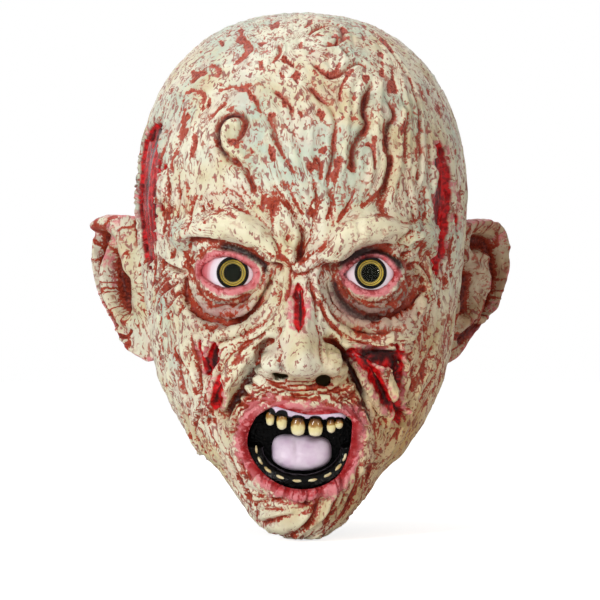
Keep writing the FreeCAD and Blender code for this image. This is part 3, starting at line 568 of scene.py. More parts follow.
# ---- drawing on the form -----------------------------------------------------------------------
def smooth_line(corners, step):
    """Evenly stepped smooth curve through corner points."""
    p = np.asarray(corners, float)
    if len(p) == 2:
        p = np.array([p[0], p.mean(0), p[1]])
    ends = np.concatenate([[2 * p[0] - p[1]], p, [2 * p[-1] - p[-2]]])
    line = []
    for k in range(1, len(ends) - 2):
        a, b, c, d = ends[k - 1:k + 3]
        count = max(2, int(np.linalg.norm(c - b) / step))
        t = (np.arange(count) / count)[:, None]
        line.append(0.5 * (2 * b + (c - a) * t + (2 * a - 5 * b + 4 * c - d) * t ** 2
                           + (3 * b - a - 3 * c + d) * t ** 3))
    return np.concatenate(line + [p[-1:]])


def form_tree(points):
    """Search tree of the grid's surface."""
    n, m = points.shape[:2]
    i, j = np.meshgrid(np.arange(0, n, 2), np.arange(0, m - 2, 2), indexing="ij")
    quads = np.stack([i * m + j, (i + 2) % n * m + j, (i + 2) % n * m + j + 2, i * m + j + 2], -1)
    return BVHTree.FromPolygons(points.reshape(-1, 3).tolist(), quads.reshape(-1, 4).tolist())


def cast(tree, starts, aims):
    """Where rays meet the form, or the form's nearest point where a ray misses it."""
    hits = []
    for start, aim in zip(starts, aims):
        way = Vector(aim) - Vector(start)
        place = tree.ray_cast(Vector(start), way.normalized())[0]
        if place is None:
            place = tree.find_nearest(Vector(aim))[0]
        hits.append(place)
    return np.array(hits)


def drawn(tree, corners, side=0):
    """Line on the form through corners, as the camera sees them, or from a side as depth and height."""
    line = smooth_line(corners, 1.5)
    none = 0 * line[:, 0]
    if side:
        aims = np.stack([none, line[:, 0], line[:, 1]], -1)
        return cast(tree, aims + np.array([side * 400.0, 0, 0]), aims)
    aims = np.stack([line[:, 0], none, line[:, 1]], -1)
    return cast(tree, np.broadcast_to(camera_place, aims.shape), aims)


def beside_line(points, line, reach):
    """Grid places within reach of a line: distance, way along it, its length, and its direction there."""
    low, high = line.min(0) - reach, line.max(0) + reach
    near = np.flatnonzero(((points > low) & (points < high)).all(1))
    steps = np.diff(line, axis=0)
    size = np.maximum((steps ** 2).sum(1), 1e-9)
    away = points[near][:, None, :] - line[None, :-1, :]
    t = np.clip((away * steps).sum(2) / size, 0, 1)
    gap = np.linalg.norm(away - t[..., None] * steps, axis=2)
    best = gap.argmin(1)
    row = np.arange(len(near))
    keep = gap[row, best] < reach
    near, best, row = near[keep], best[keep], row[keep]
    length = np.concatenate([[0], np.cumsum(np.sqrt(size))])
    along = length[best] + t[row, best] * np.sqrt(size[best])
    return near, gap[row, best], along, length[-1], steps[best]


class Sculpt:
    """Height, paint and grain direction over the grid."""

    def __init__(self, points):
        self.points = points.reshape(-1, 3)
        self.shape = points.shape[:2]
        count = len(self.points)
        for name in ("height", "stain", "pink", "mint", "dark", "blood", "calm", "bruise"):
            setattr(self, name, np.zeros(count))
        self.wobble = 0.30 * cloud(points, 3.0, 11).reshape(-1) + 0.34 * cloud(points, 8.0, 12).reshape(-1)
        self.patchy = ramp(cloud(points, 6.0, 13).reshape(-1), -0.7, 0.3)
        self.grain = np.zeros((count, 2))
        self.e1, self.e2 = (direction.reshape(-1, 3) for direction in grid_frame(points)[:2])

    def comb_along(self, near, gap, direction, width, strength):
        """Turns the grain to a direction, by twice its angle so that opposite ways agree."""
        a = np.arctan2((direction * self.e2[near]).sum(1), (direction * self.e1[near]).sum(1))
        weight = strength * bell(gap, width)
        self.grain[near, 0] += weight * np.cos(2 * a)
        self.grain[near, 1] += weight * np.sin(2 * a)

    def stroke(self, kind, width, height, line):
        """Carves and paints one stroke, and combs the grain along it."""
        reach = max(14.0, 3.5 * width)
        near, gap, along, length, direction = beside_line(self.points, line, reach)
        if not len(near):
            return
        taper = ramp(along, -0.6 * width, 2.6 * width) * ramp(length - along, -0.6 * width, 2.6 * width)
        if kind == "grain":
            self.comb_along(near, gap, direction, width, height)
            return
        if kind in SOFT_KINDS:
            field = getattr(self, SOFT_KINDS[kind])
            field[near] = np.maximum(field[near], height * taper * bell(gap, width))
            return
        self.comb_along(near, gap, direction, 7.0, 1.0)
        gap = np.maximum(gap + width * self.wobble[near], 0)
        if kind == "crease":
            self.height[near] -= height * taper * bell(gap, width * 0.8)
            self.height[near] += 0.36 * height * taper * bell(gap - 2.0 * width, width * 0.8)
            broken = 0.5 + 0.5 * self.patchy[near]
            self.stain[near] = np.maximum(self.stain[near], taper * bell(gap, width) * broken)
        if kind == "fold":
            self.height[near] += height * taper * bell(gap, width)
            self.stain[near] *= 1 - 0.9 * taper * bell(gap, width * 0.8)
        if kind == "pit":
            flat = 1 - ramp(gap, width * 0.6, width * 1.05)
            self.height[near] -= height * taper * flat
            self.height[near] += 0.4 * height * taper * bell(gap - 1.7 * width, width * 0.5)
            self.stain[near] = np.maximum(self.stain[near], 0.8 * ramp(taper, 0.1, 0.4) * flat)
        if kind == "gash":
            share = along / length
            lens = width * np.sqrt(np.clip(4 * share * (1 - share), 0.02, 1))
            flat = 1 - ramp(gap, lens - 0.9, lens + 0.7)
            sunk = (1 - flat) * self.height[near] - height * flat
            self.height[near] = np.where(flat > 0.01, sunk, self.height[near])
            self.height[near] += 0.35 * height * bell(gap - lens - 1.8, 1.6) * ramp(taper, 0.1, 0.6)
            self.blood[near] = np.maximum(self.blood[near], flat)
            rim = 0.4 * bell(gap - lens - 0.7, 1.0) * ramp(taper, 0.0, 0.3)
            self.pink[near] = np.maximum(self.pink[near], rim)
            self.calm[near] = np.maximum(self.calm[near], flat)
            # a narrow wound gets painted shade on its deep floor
            if width < 6:
                floor = 0.85 * (1 - ramp(gap, 0.2 * lens, 0.85 * lens)) * ramp(taper, 0.2, 0.7)
                self.dark[near] = np.maximum(self.dark[near], floor)


def sculpt_skin(points):
    """Carves the strokes and the wrinkles between them, and lays down where the paint goes."""
    tree = form_tree(points)
    s = Sculpt(points)
    x, y, z = s.points.T
    side = np.abs(x)
    front = ramp(-y, -10, 30)

    # the grain: up the sides and over the skull, round the eyes, out from the lips
    lie = s.e2 * 0 + np.array([0.0, 0.0, 1.0])
    over_crown = ramp(z, 225, 260)[:, None]
    lie = lie + np.array([0.0, 0.0, -1.0]) * over_crown + np.array([0.0, 1.0, 0.0]) * over_crown
    everywhere = np.arange(len(x))
    behind = 60 * (1 - front)
    s.comb_along(everywhere, 0 * x, lie, 1.0, 0.25)
    for eye_x in (-eye_spacing / 2, eye_spacing / 2):
        dx, dz = x - eye_x, z - eye_height
        round_eye = np.stack([-dz, 0 * x, dx], -1)
        gap = np.maximum(np.hypot(dx, dz) - 14, 0) + behind
        s.comb_along(everywhere, gap, round_eye, 16.0, 1.6)
    away = np.stack([x, 0 * x, z - mouth_height], -1)
    rim = mouth_distance(x, z)
    across_lip = np.stack([-(z - mouth_height), 0 * x, x], -1)
    upper = ramp(z, mouth_height + 8, mouth_height + 20) * (1 - ramp(side, 26, 40))
    off_lips = np.maximum(rim, 0) + behind
    s.comb_along(everywhere, off_lips + 60 * upper, away, 9.0, 2.4)
    s.comb_along(everywhere, off_lips + 60 * (1 - upper), across_lip, 14.0, 2.2)

    for kind, width, height, *lines in FRONT_STROKES:
        for corners in lines:
            s.stroke(kind, width, height, drawn(tree, corners))
    for side_sign, kind, width, height, corners in SIDE_STROKES:
        s.stroke(kind, width, height, drawn(tree, corners, side_sign))

    # wire-brushed wrinkles along the grain
    angle = 0.5 * np.arctan2(s.grain[:, 1], s.grain[:, 0])
    along, up = grid_frame(points)[3:]
    flow = (np.cos(angle)[:, None] * s.e1 + np.sin(angle)[:, None] * s.e2).reshape(*s.shape, 3)
    aa, uu, au = (along * along).sum(-1), (up * up).sum(-1), (along * up).sum(-1)
    fa, fu = (flow * along).sum(-1), (flow * up).sum(-1)
    det = np.maximum(aa * uu - au * au, 1e-6)
    flow_u, flow_v = (fa * uu - fu * au) / det, (fu * aa - fa * au) / det
    flow_u, flow_v = np.clip(flow_u, -3, 3), np.clip(flow_v, -3, 3)

    def combed(size, reach, seed):
        """Lumps of a size smeared along the flow, scaled to an even spread."""
        smeared = comb(cloud(points, size, seed), flow_u, flow_v, reach, 1.0).reshape(-1)
        return smeared / smeared.std()

    coarse, medium, fine = combed(4.4, 22.0, 1), combed(2.7, 10.0, 2), combed(1.7, 4.0, 3)
    lump = cloud(points, 15.0, 4).reshape(-1)
    patch = cloud(points, 5.0, 5).reshape(-1)

    smooth_nose = bell(np.hypot(x, (z - 108) * 0.7), 20) * front
    brow = bell(z - 170, 9) * bell(side - 34, 26) * front
    scalp = np.maximum(ramp(z, 180, 205) * (1 - ramp(side, 62, 80) * front), ramp(z, 212, 244))
    off_eye = side - eye_spacing / 2
    lids = bell(np.hypot(off_eye / 1.25, z - eye_height), 12.5) * front
    rough = np.clip(1 - 0.95 * smooth_nose - 0.75 * brow - 0.8 * lids, 0, 1) * (1 - s.calm)
    deep = rough * (1 - 0.80 * scalp)

    groove = bell(coarse, 0.38) * deep * ramp(lump, -1.7, -0.7)
    narrow = bell(medium, 0.27) * rough * ramp(-lump, -0.9, 0.1) * (1 - 0.3 * scalp)
    swell = deep * (1 - bell(coarse, 0.9))
    carved = 1.0 * swell + deep * 0.65 * lump - 1.5 * groove - 0.6 * narrow
    s.height += carved + 0.2 * fine * rough * (1 - 0.5 * scalp)
    s.stain = np.maximum(s.stain, 1.0 * groove)
    s.stain = np.maximum(s.stain, 0.78 * narrow)

    # bowed ropes over the upper lip, side by side at an even spacing
    over_lip = ramp(z, mouth_height + 10, mouth_height + 19) * (1 - ramp(side, 34, 42)) * front
    over_lip = over_lip * ramp(rim, 2.0, 4.5) * (1 - ramp(rim, 15, 19)) * (1 - smooth_nose * ramp(z, 86, 92))
    ropes = np.cos(2 * math.pi * (rim / 2.7 + 0.30 * lump + 0.16 * s.wobble))
    s.height += 0.7 * ropes * over_lip
    s.stain = np.maximum(s.stain, ramp(-ropes, -0.35, 0.3) * over_lip)

    # flat red patches where the scalp's skin has worn through
    worn = ramp(0.8 * patch + 0.45 * medium, 0.62, 0.78) * scalp * rough
    s.height -= 0.8 * worn
    s.stain = np.maximum(s.stain, 0.9 * worn)

    # sinews along the wounds' floors, with painted shade in the hollows between them
    strands = combed(2.2, 26.0, 7)
    s.height += s.blood * 0.9 * np.tanh(strands)
    s.dark = np.maximum(s.dark, s.blood * ramp(-strands, 0.1, 1.1) * 0.85)

    # lips and eyelids keep their rims pink
    lip = bell(np.maximum(hole_gap(s.points, FRONT_HOLES[0]) - 0.5, 0), 5.5)
    above = ramp(z, mouth_height + 8, mouth_height + 15) * (1 - ramp(side, 20, 30))
    s.pink = np.maximum(s.pink, lip * (1 - 0.6 * above * ramp(rim, 2.5, 5.0)))
    for n in (1, 2):
        gap = hole_gap(s.points, FRONT_HOLES[n])
        s.pink = np.maximum(s.pink, 0.72 * bell(np.maximum(gap - 0.9, 0), 1.5))
        s.stain = np.maximum(s.stain, 0.75 * bell(gap - 4.6, 1.5))

    # mint green clouds, from the cheeks up
    green = ramp(cloud(points, 24.0, 8).reshape(-1) + 0.5 * lump, -0.1, 0.4)
    s.mint = np.maximum(s.mint, green * 0.8 * ramp(z, 110, 175))
    s.field = coarse
    s.quiet = np.clip(s.calm + 0.75 * smooth_nose + 0.55 * brow, 0, 1)

    # the seats of the eyes and the lining keep their wall
    eye_seat = bell(np.maximum(np.hypot(off_eye, z - eye_height) - 17, 0), 3)
    seat = np.maximum(eye_seat, bell(np.maximum(rim, 0), 9)) * front
    s.height = np.maximum(s.height, -1.6 * seat - 4.6 * (1 - seat))
    return s


# ---- pieces ------------------------------------------------------------------------------------
def choose(obj):
    """Selects one object alone and makes it the active one."""
    bpy.ops.object.select_all(action="DESELECT")
    obj.select_set(True)
    bpy.context.view_layer.objects.active = obj


def add_modifier(obj, kind, **settings):
    """Adds a modifier with its settings and applies it."""
    modifier = obj.modifiers.new(kind.lower(), kind)
    for key, value in settings.items():
        setattr(modifier, key, value)
    choose(obj)
    bpy.ops.object.modifier_apply(modifier=modifier.name)


def read_places(obj):
    """Places of a piece's vertices, in millimetres."""
    co = np.empty(len(obj.data.vertices) * 3)
    obj.data.vertices.foreach_get("co", co)
    return co.reshape(-1, 3) / MM


def write_places(obj, place):
    """Moves a piece's vertices to places in millimetres."""
    obj.data.vertices.foreach_set("co", (place * MM).ravel())
    obj.data.update()


def read_numbers(mesh, name):
    """Whole numbers laid on a mesh's vertices."""
    values = np.empty(len(mesh.vertices), np.int32)
    mesh.attributes[name].data.foreach_get("value", values)
    return values


def numbered(obj, columns_here, rows_here):
    """Column and row of each vertex of an added sphere; the poles get rows -1 and rows_here."""
    co = np.empty(len(obj.data.vertices) * 3)
    obj.data.vertices.foreach_get("co", co)
    co = co.reshape(-1, 3)
    turn = np.arctan2(co[:, 1], co[:, 0]) / (2 * math.pi) * columns_here
    column = np.round(turn).astype(int) % columns_here
    tall = np.arcsin(np.clip(co[:, 2], -1, 1)) / math.pi + 0.5
    row = np.round(tall * (rows_here + 1)).astype(int) - 1
    return column, row


def sphere_piece(name, points, south, north):
    """Piece whose surface runs through a closed grid of points, in millimetres, from pole to pole."""
    n, m = points.shape[:2]
    bpy.ops.object.select_all(action="DESELECT")
    bpy.ops.mesh.primitive_uv_sphere_add(segments=n, ring_count=m + 1, radius=1.0)
    obj = bpy.context.object
    obj.name = obj.data.name = name
    column, row = numbered(obj, n, m)
    place = points[column, np.clip(row, 0, m - 1)]
    place = np.where((row < 0)[:, None], south, np.where((row >= m)[:, None], north, place))
    obj.data.vertices.foreach_set("co", (place * MM).ravel())
    obj.data.update()
    shape = bmesh.new()
    shape.from_mesh(obj.data)
    if shape.calc_volume(signed=True) < 0:
        bmesh.ops.reverse_faces(shape, faces=shape.faces)
    shape.to_mesh(obj.data)
    shape.free()
    bpy.ops.object.shade_smooth()
    return obj, column, row


def closed_piece(name, grid):
    """Piece whose end rings close on their own middles, and each vertex's place in the grid."""
    obj, column, row = sphere_piece(name, grid, grid[:, 0].mean(0), grid[:, -1].mean(0))
    return obj, column * grid.shape[1] + np.clip(row, 0, grid.shape[1] - 1)


def paint(obj, name, values):
    """Four numbers on each vertex for the materials to read."""
    layer = obj.data.attributes.new(name, "FLOAT_COLOR", "POINT")
    layer.data.foreach_set("color", np.clip(values, 0, 1).astype(np.float32).ravel())


def paint_one(obj, name, value):
    """One number on each vertex, the same in every channel."""
    paint(obj, name, np.stack([value, value, value, 1 + 0 * value], -1))


def polar_edge(outline, angle):
    """Distance of a smooth outline, given by (degrees, distance) pairs, at angles in radians."""
    turn = np.array([a for a, r in outline])
    reach = np.tile([r for a, r in outline], 3)
    turn = np.concatenate([turn - 360, turn, turn + 360])
    slope = np.gradient(reach, turn)
    at = np.degrees(angle) % 360
    k = np.clip(np.searchsorted(turn, at, side="right") - 1, 0, len(turn) - 2)
    span = turn[k + 1] - turn[k]
    t = (at - turn[k]) / span
    return ((2 * t ** 3 - 3 * t ** 2 + 1) * reach[k] + (t ** 3 - 2 * t ** 2 + t) * slope[k] * span
            + (3 * t ** 2 - 2 * t ** 3) * reach[k + 1] + (t ** 3 - t ** 2) * slope[k + 1] * span)


def outline_about(middle_x, middle_z, corners, grow=0.0):
    """Outline as (degrees, distance) pairs about a middle, from its corners across and up."""
    pairs = []
    for x, z in corners:
        turn = math.degrees(math.atan2(z - middle_z, x - middle_x)) % 360
        pairs.append((turn, math.hypot(x - middle_x, z - middle_z) + grow))
    return sorted(pairs)


# Edges of the openings, as corners across and up.
LIPS_EDGE = [
    (26.5, 68.0), (27.5, 59.1), (27.0, 51.1), (24.9, 43.2), (20.2, 36.2), (13.3, 31.6), (5.3, 29.2),
    (-1.1, 28.9), (-9.6, 30.5), (-16.9, 34.1), (-22.7, 38.9), (-26.9, 44.3), (-29.6, 51.1), (-29.3, 59.1),
    (-26.2, 66.3), (-22.2, 72.2), (-18.4, 74.5), (-8.4, 72.5), (0.0, 70.3), (7.9, 69.7), (15.9, 70.2),
    (22.5, 70.6),
]
RIGHT_LIDS = [
    (-56.4, 147.0), (-50.4, 155.0), (-44.0, 156.9), (-37.6, 156.4), (-31.0, 153.2), (-25.6, 147.2),
    (-27.5, 142.2), (-33.9, 139.4), (-40.9, 138.4), (-47.8, 140.3), (-52.9, 143.4),
]
LEFT_LIDS = [
    (23.6, 146.4), (27.2, 151.2), (31.8, 154.8), (37.5, 156.4), (44.4, 155.6), (49.0, 151.8), (51.8, 147.0),
    (49.4, 142.3), (44.4, 138.4), (38.6, 137.2), (32.9, 138.4), (27.9, 141.6),
]
# Nostrils, as (degrees, distance) pairs.
RIGHT_NOSTRIL = [
    (0, 4.4), (50, 2.4), (90, 1.9), (125, 3.0), (160, 5.2), (200, 4.0), (235, 2.6), (270, 2.2), (325, 3.6),
]
LEFT_NOSTRIL = [(0, 4.2), (50, 3.7), (90, 3.3), (130, 3.7), (180, 4.4), (230, 3.8), (270, 3.4), (310, 3.7)]
# Openings of the skin seen from the front: middle across, middle height, outline.
FRONT_HOLES = [
    (0.0, 52.0, outline_about(0.0, 52.0, LIPS_EDGE)),
    (-39.5, 147.3, outline_about(-39.5, 147.3, RIGHT_LIDS, 1.1)),
    (37.6, 146.3, outline_about(37.6, 146.3, LEFT_LIDS, 1.1)),
    (-11.4, 90.4, RIGHT_NOSTRIL),
    (12.0, 88.4, LEFT_NOSTRIL),
]


def hole_gap(points, hole):
    """Distance outside an opening's edge over the front, negative inside it."""
    middle_x, middle_z, outline = hole
    dx, dz = points[:, 0] - middle_x, points[:, 2] - middle_z
    edge = polar_edge(outline, np.arctan2(dz, dx))
    return np.where(points[:, 1] < -60, np.hypot(dx, dz) - edge, 99.0)


def seated(place, centre, radius):
    """Moves points that lie inside a ball about a centre out to its surface."""
    away = place - centre
    length = np.linalg.norm(away, axis=1, keepdims=True)
    return np.where(length < radius, centre + away / np.maximum(length, 1e-6) * radius, place)


def ear_hole_gap(place):
    """Distance outside the hearing holes at the head's sides, negative inside them."""
    gap = np.hypot(place[:, 1] - ear_hole_y, place[:, 2] - ear_middle_height) - ear_hole_radius
    return np.where(np.abs(place[:, 0]) > 60, gap, 99.0)


def cut_openings(skin, column, row, crossing, tree):
    """Cuts the openings, moves corners left inside them out to their edges, and gives back all places."""
    mesh = skin.data
    spot = read_numbers(mesh, "spot")
    place = read_places(skin)
    gaps = np.array([hole_gap(place, hole) for hole in FRONT_HOLES] + [ear_hole_gap(place)])
    shape = bmesh.new()
    shape.from_mesh(mesh)
    gone = []
    for face in shape.faces:
        ids = [v.index for v in face.verts]
        if (gaps[:, ids] < 0).all(1).any():
            gone.append(face)
        elif min(spot[ids]) == SOUTH and max(crossing[column[k]] for k in ids if row[k] >= 0) > 0:
            gone.append(face)
    bmesh.ops.delete(shape, geom=gone, context="FACES")
    shape.to_mesh(mesh)
    shape.free()

    place = read_places(skin)
    for hole in FRONT_HOLES:
        middle_x, middle_z, outline = hole
        low = np.flatnonzero(hole_gap(place, hole) < 0)
        dx, dz = place[low, 0] - middle_x, place[low, 2] - middle_z
        turn = np.arctan2(dz, dx)
        edge = polar_edge(outline, turn)
        aim = np.stack([middle_x + edge * np.cos(turn), place[low, 1], middle_z + edge * np.sin(turn)], -1)
        start = aim * np.array([1, 0, 1]) + np.array([0, -300.0, 0])
        place[low] = cast(tree, start, aim)
    low = np.flatnonzero(ear_hole_gap(place) < 0)
    turn = np.arctan2(place[low, 2] - ear_middle_height, place[low, 1] - ear_hole_y)
    place[low, 1] = ear_hole_y + ear_hole_radius * np.cos(turn)
    place[low, 2] = ear_middle_height + ear_hole_radius * np.sin(turn)
    write_places(skin, place)
    return place


def clear_of_eyes(inner, place):
    """Keeps the inner wall off the eyeballs, and draws it in under the lids' edges."""
    for eye_x in (-eye_spacing / 2, eye_spacing / 2):
        centre = np.array([eye_x, -eye_depth, eye_height])
        beside = (np.abs(inner[:, 0] - eye_x) < 21) & (np.abs(inner[:, 2] - eye_height) < 21)
        ahead = beside & (inner[:, 1] < -eye_depth)
        hole = FRONT_HOLES[1 if eye_x < 0 else 2]
        near = np.flatnonzero(ahead & (hole_gap(place, hole) < 3.0))
        pull = 1.3 * (1 - np.maximum(hole_gap(place[near], hole), 0) / 3.0)
        toward = np.stack([hole[0] - inner[near, 0], 0 * pull, hole[1] - inner[near, 2]], -1)
        toward /= np.maximum(np.linalg.norm(toward, axis=1, keepdims=True), 1e-6)
        inner[near] += toward * pull[:, None]
        inner[ahead] = seated(inner[ahead], centre, eye_radius + 0.35)


def thin_skin(skin, both, half):
    """Thins the mesh at the back and on the inner wall, but not where that is seated on the eyes."""
    mesh = skin.data
    inner = both[half:]
    spare = skin.vertex_groups.new(name="spare")
    weight = np.full(2 * half, 0.85)
    weight[:half] = 0.80 * ramp(both[:half, 1], -10, 30)
    off_eye = np.hypot(np.abs(inner[:, 0]) - eye_spacing / 2, inner[:, 2] - eye_height)
    weight[half:] -= 0.60 * (1 - ramp(off_eye, 18, 26)) * (inner[:, 1] < -60)
    for level in np.unique(np.round(weight, 2)):
        chosen = np.flatnonzero(np.round(weight, 2) == level)
        spare.add(chosen.tolist(), float(level), "REPLACE")
    triangles = sum(len(p.vertices) - 2 for p in mesh.polygons)
    add_modifier(skin, "DECIMATE", ratio=min(1.0, skin_triangles / triangles), vertex_group="spare")


# Numbers of the vertices that close the grid below and above.
SOUTH, NORTH = -1, -2


def skin_piece():
    """The hood: its outside sculpted, its openings cut, its wall inside, and its mesh thinned."""
    plain, crossing = grid_points()
    s = sculpt_skin(plain)
    normal = grid_frame(plain)[2].reshape(-1, 3)
    flat = plain.reshape(-1, 3)
    height = s.height.copy()
    for n, hole in enumerate(FRONT_HOLES):
        gap = hole_gap(flat, hole)
        soft = 2.2 if n < 3 else 1.4
        eased = height * ramp(gap, -2, 5) - 1.1 * (1 - ramp(gap, -0.4, soft))
        height = np.where(gap < 12, eased, height)
    outer = flat + normal * height[:, None]
    outer[:, 2] = np.clip(outer[:, 2], 0.0, head_height + 0.6)
    sheet = outer.reshape(plain.shape)

    pole = np.array([0.0, 1.0 - hem_front, 0.0])
    top = np.array([0.0, sheet[:, -1, 1].mean(), sheet[:, -1, 2].mean() + 0.1])
    skin, column, row = sphere_piece("skin", sheet, pole, top)
    mesh = skin.data
    spot = column * rows + np.clip(row, 0, rows - 1)
    spot = np.where(row < 0, SOUTH, np.where(row >= rows, NORTH, spot))
    mesh.attributes.new("spot", "INT", "POINT").data.foreach_set("value", spot.astype(np.int32))
    known = np.maximum(spot, 0)
    paint(skin, "paint", np.stack([s.stain, s.blood, s.pink, s.mint], -1)[known])
    paint(skin, "tone", np.stack([0.5 + 0.2 * s.field, s.dark, 0.5 + s.height / 12, s.bruise], -1)[known])
    paint_one(skin, "quiet", s.quiet[known])
    place = cut_openings(skin, column, row, crossing, form_tree(sheet))

    # the wall, whose inner side stays smooth; the second slot is the bare latex's
    half = len(mesh.vertices)
    mesh.materials.append(None)
    mesh.materials.append(None)
    add_modifier(
        skin, "SOLIDIFY", thickness=wall * MM, offset=-1.0, material_offset=1, use_even_offset=False)
    spot = read_numbers(mesh, "spot")[half:]
    known = np.maximum(spot, 0)
    both = read_places(skin)
    inset = np.maximum(wall, 1.4 - height[known])
    inner = flat[known] + (place - outer[known]) - normal[known] * inset[:, None]
    clear_of_eyes(inner, place)
    under = crossing[known // rows] == 0
    inner[:, 2] = np.where(under, np.maximum(inner[:, 2], 2.6), inner[:, 2])
    inner[spot == SOUTH] = pole + np.array([0, 0, 2.6])
    inner[spot == NORTH] = top - np.array([0, 0, wall])
    both[half:] = inner
    write_places(skin, both)
    thin_skin(skin, both, half)
    mesh.attributes.remove(mesh.attributes["spot"])
    skin.vertex_groups.remove(skin.vertex_groups["spare"])
    return skin


# ---- ears --------------------------------------------------------------------------------------
def outside_head(place, clearance):
    """Moves points that lie inside the head out to its side, plus a clearance."""
    half, front, back, middle = plan_section(place[:, 2])
    ahead = place[:, 1] < middle
    reach = np.where(ahead, front + middle, back - middle)
    across = (np.abs(place[:, 0]) / half) ** ROUNDNESS
    size = (across + (np.abs(place[:, 1] - middle) / reach) ** ROUNDNESS) ** (1 / ROUNDNESS)
    grow = (1 + clearance / half) / np.maximum(size, 1e-6)
    moved = place.copy()
    moved[:, 0] = place[:, 0] * grow
    moved[:, 1] = middle + (place[:, 1] - middle) * grow
    return np.where((grow > 1)[:, None], moved, place)


# Outlines of the ears about the point 20 out from the root, as (degrees, distance) pairs.
EAR_OUTLINES = {
    -1: [
        (4, 30.9), (30, 40), (42, 46), (53.6, 51), (61, 50), (69, 47), (89, 43), (101, 41.8), (124, 36),
        (180, 24), (220, 36), (249, 45), (261, 40), (279, 33.5), (299, 27.5), (333, 26.2),
    ],
    1: [
        (6, 29), (30, 37.5), (42, 41), (53, 44.5), (66, 44), (82, 41.5), (101, 40), (124, 36), (180, 24),
        (220, 38), (239, 50), (256, 39), (266, 31), (290, 23), (335, 24.5),
    ],
}
# Painted shade on the sunk forms' floors: how dark each kind is.
EAR_SHADE = {"hollow": 0.5, "hole": 1.0, "groove": 0.5, "streak": 0.0}
# Forms on the ears, in the ear's own plane: (kind, height, half width, points out from the root and up).
EAR_FORMS = {
    -1: [
        ("hollow", 8.0, 8.5, [(33, 15), (31, 3), (28, -9)]),
        ("hollow", 6.0, 5.0, [(48, 31), (43, 30), (46, 23)]),
        ("groove", 2.6, 1.9, [(48, 24), (48.5, 8), (43, -8), (33, -21)]),
        ("groove", 3.0, 4.0, [(16, 38), (13, 28)]),
        ("hole", 7.0, 4.8, [(24, 5), (22, -3)]),
        ("ridge", 6.4, 4.6, [(50, 38), (37, 38.5), (28.5, 32), (23.3, 23.6), (18.1, 12)]),
        ("ridge", 4.2, 3.6, [(35.5, 26), (41.5, 17), (43, 5), (38.5, -7), (29, -16.5), (18, -21)]),
        ("ridge", 3.4, 2.2, [(52, 30), (52, 10), (46, -8), (36, -22), (26, -31), (14, -40)]),
        ("ridge", 4.0, 6.0, [(13, 2), (12, -10)]),
        ("streak", 0.8, 1.1, [(33, -26), (24, -28), (18, -24)]),
        ("streak", 0.8, 1.0, [(30, -31), (21, -33)]),
    ],
    1: [
        ("hollow", 6.0, 7.5, [(16, 9), (14, 1), (13, -9)]),
        ("hollow", 7.0, 5.4, [(24, 27), (36, 25), (42, 11), (38.5, -1), (31, -12)]),
        ("groove", 2.4, 3.0, [(30, -20), (20, -24), (10, -30)]),
        ("ridge", 5.6, 4.6, [(4, 38), (26, 40), (43, 35.2), (50, 26)]),
        ("ridge", 4.4, 3.4, [(14, 34), (12.5, 27), (10, 18)]),
        ("ridge", 3.6, 2.2, [(51, 22), (50.5, 10), (43, -8.8), (28, -19)]),
        ("ridge", 4.2, 3.4, [(17, 13), (26, 12), (32.5, 7), (32, -2), (22, -14), (6, -24)]),
        ("ridge", 4.0, 4.4, [(28, 19.5), (30, 18.5)]),
        ("ridge", 3.6, 5.0, [(5, 2), (4, -10)]),
        ("streak", 0.9, 2.4, [(4, -28), (12, -27), (20, -20)]),
        ("streak", 0.8, 1.1, [(27, 21), (32, 20)]),
    ],
}


def ear_forms(side_sign, out, up, seed):
    """Height, rust wash and shade that an ear's folds and hollows give its outer face."""
    rise, stain, dark = 0 * out, 0 * out, 0 * out
    wander = 0.5 * cloud(np.stack([out, up, 0 * out], -1), 5.0, seed)
    for kind, height, width, corners in EAR_FORMS[side_sign]:
        line = smooth_line(corners, 2.0)
        pieces = [near_segment(out, up, *start, *end)[0] for start, end in zip(line, line[1:])]
        gap = np.min(pieces, axis=0) + wander
        if kind == "ridge":
            rise = rise * (1 - 0.6 * bell(gap, width)) + height * bell(gap, width)
            stain, dark = stain * (1 - bell(gap, width)), dark * (1 - bell(gap, width))
        else:
            flat = 1 - ramp(gap, width * 0.55, width * 1.25)
            rise = rise - height * flat
            stain = np.maximum(stain, 1.2 * flat)
            dark = np.maximum(dark, EAR_SHADE[kind] * flat)
    return rise, stain, dark


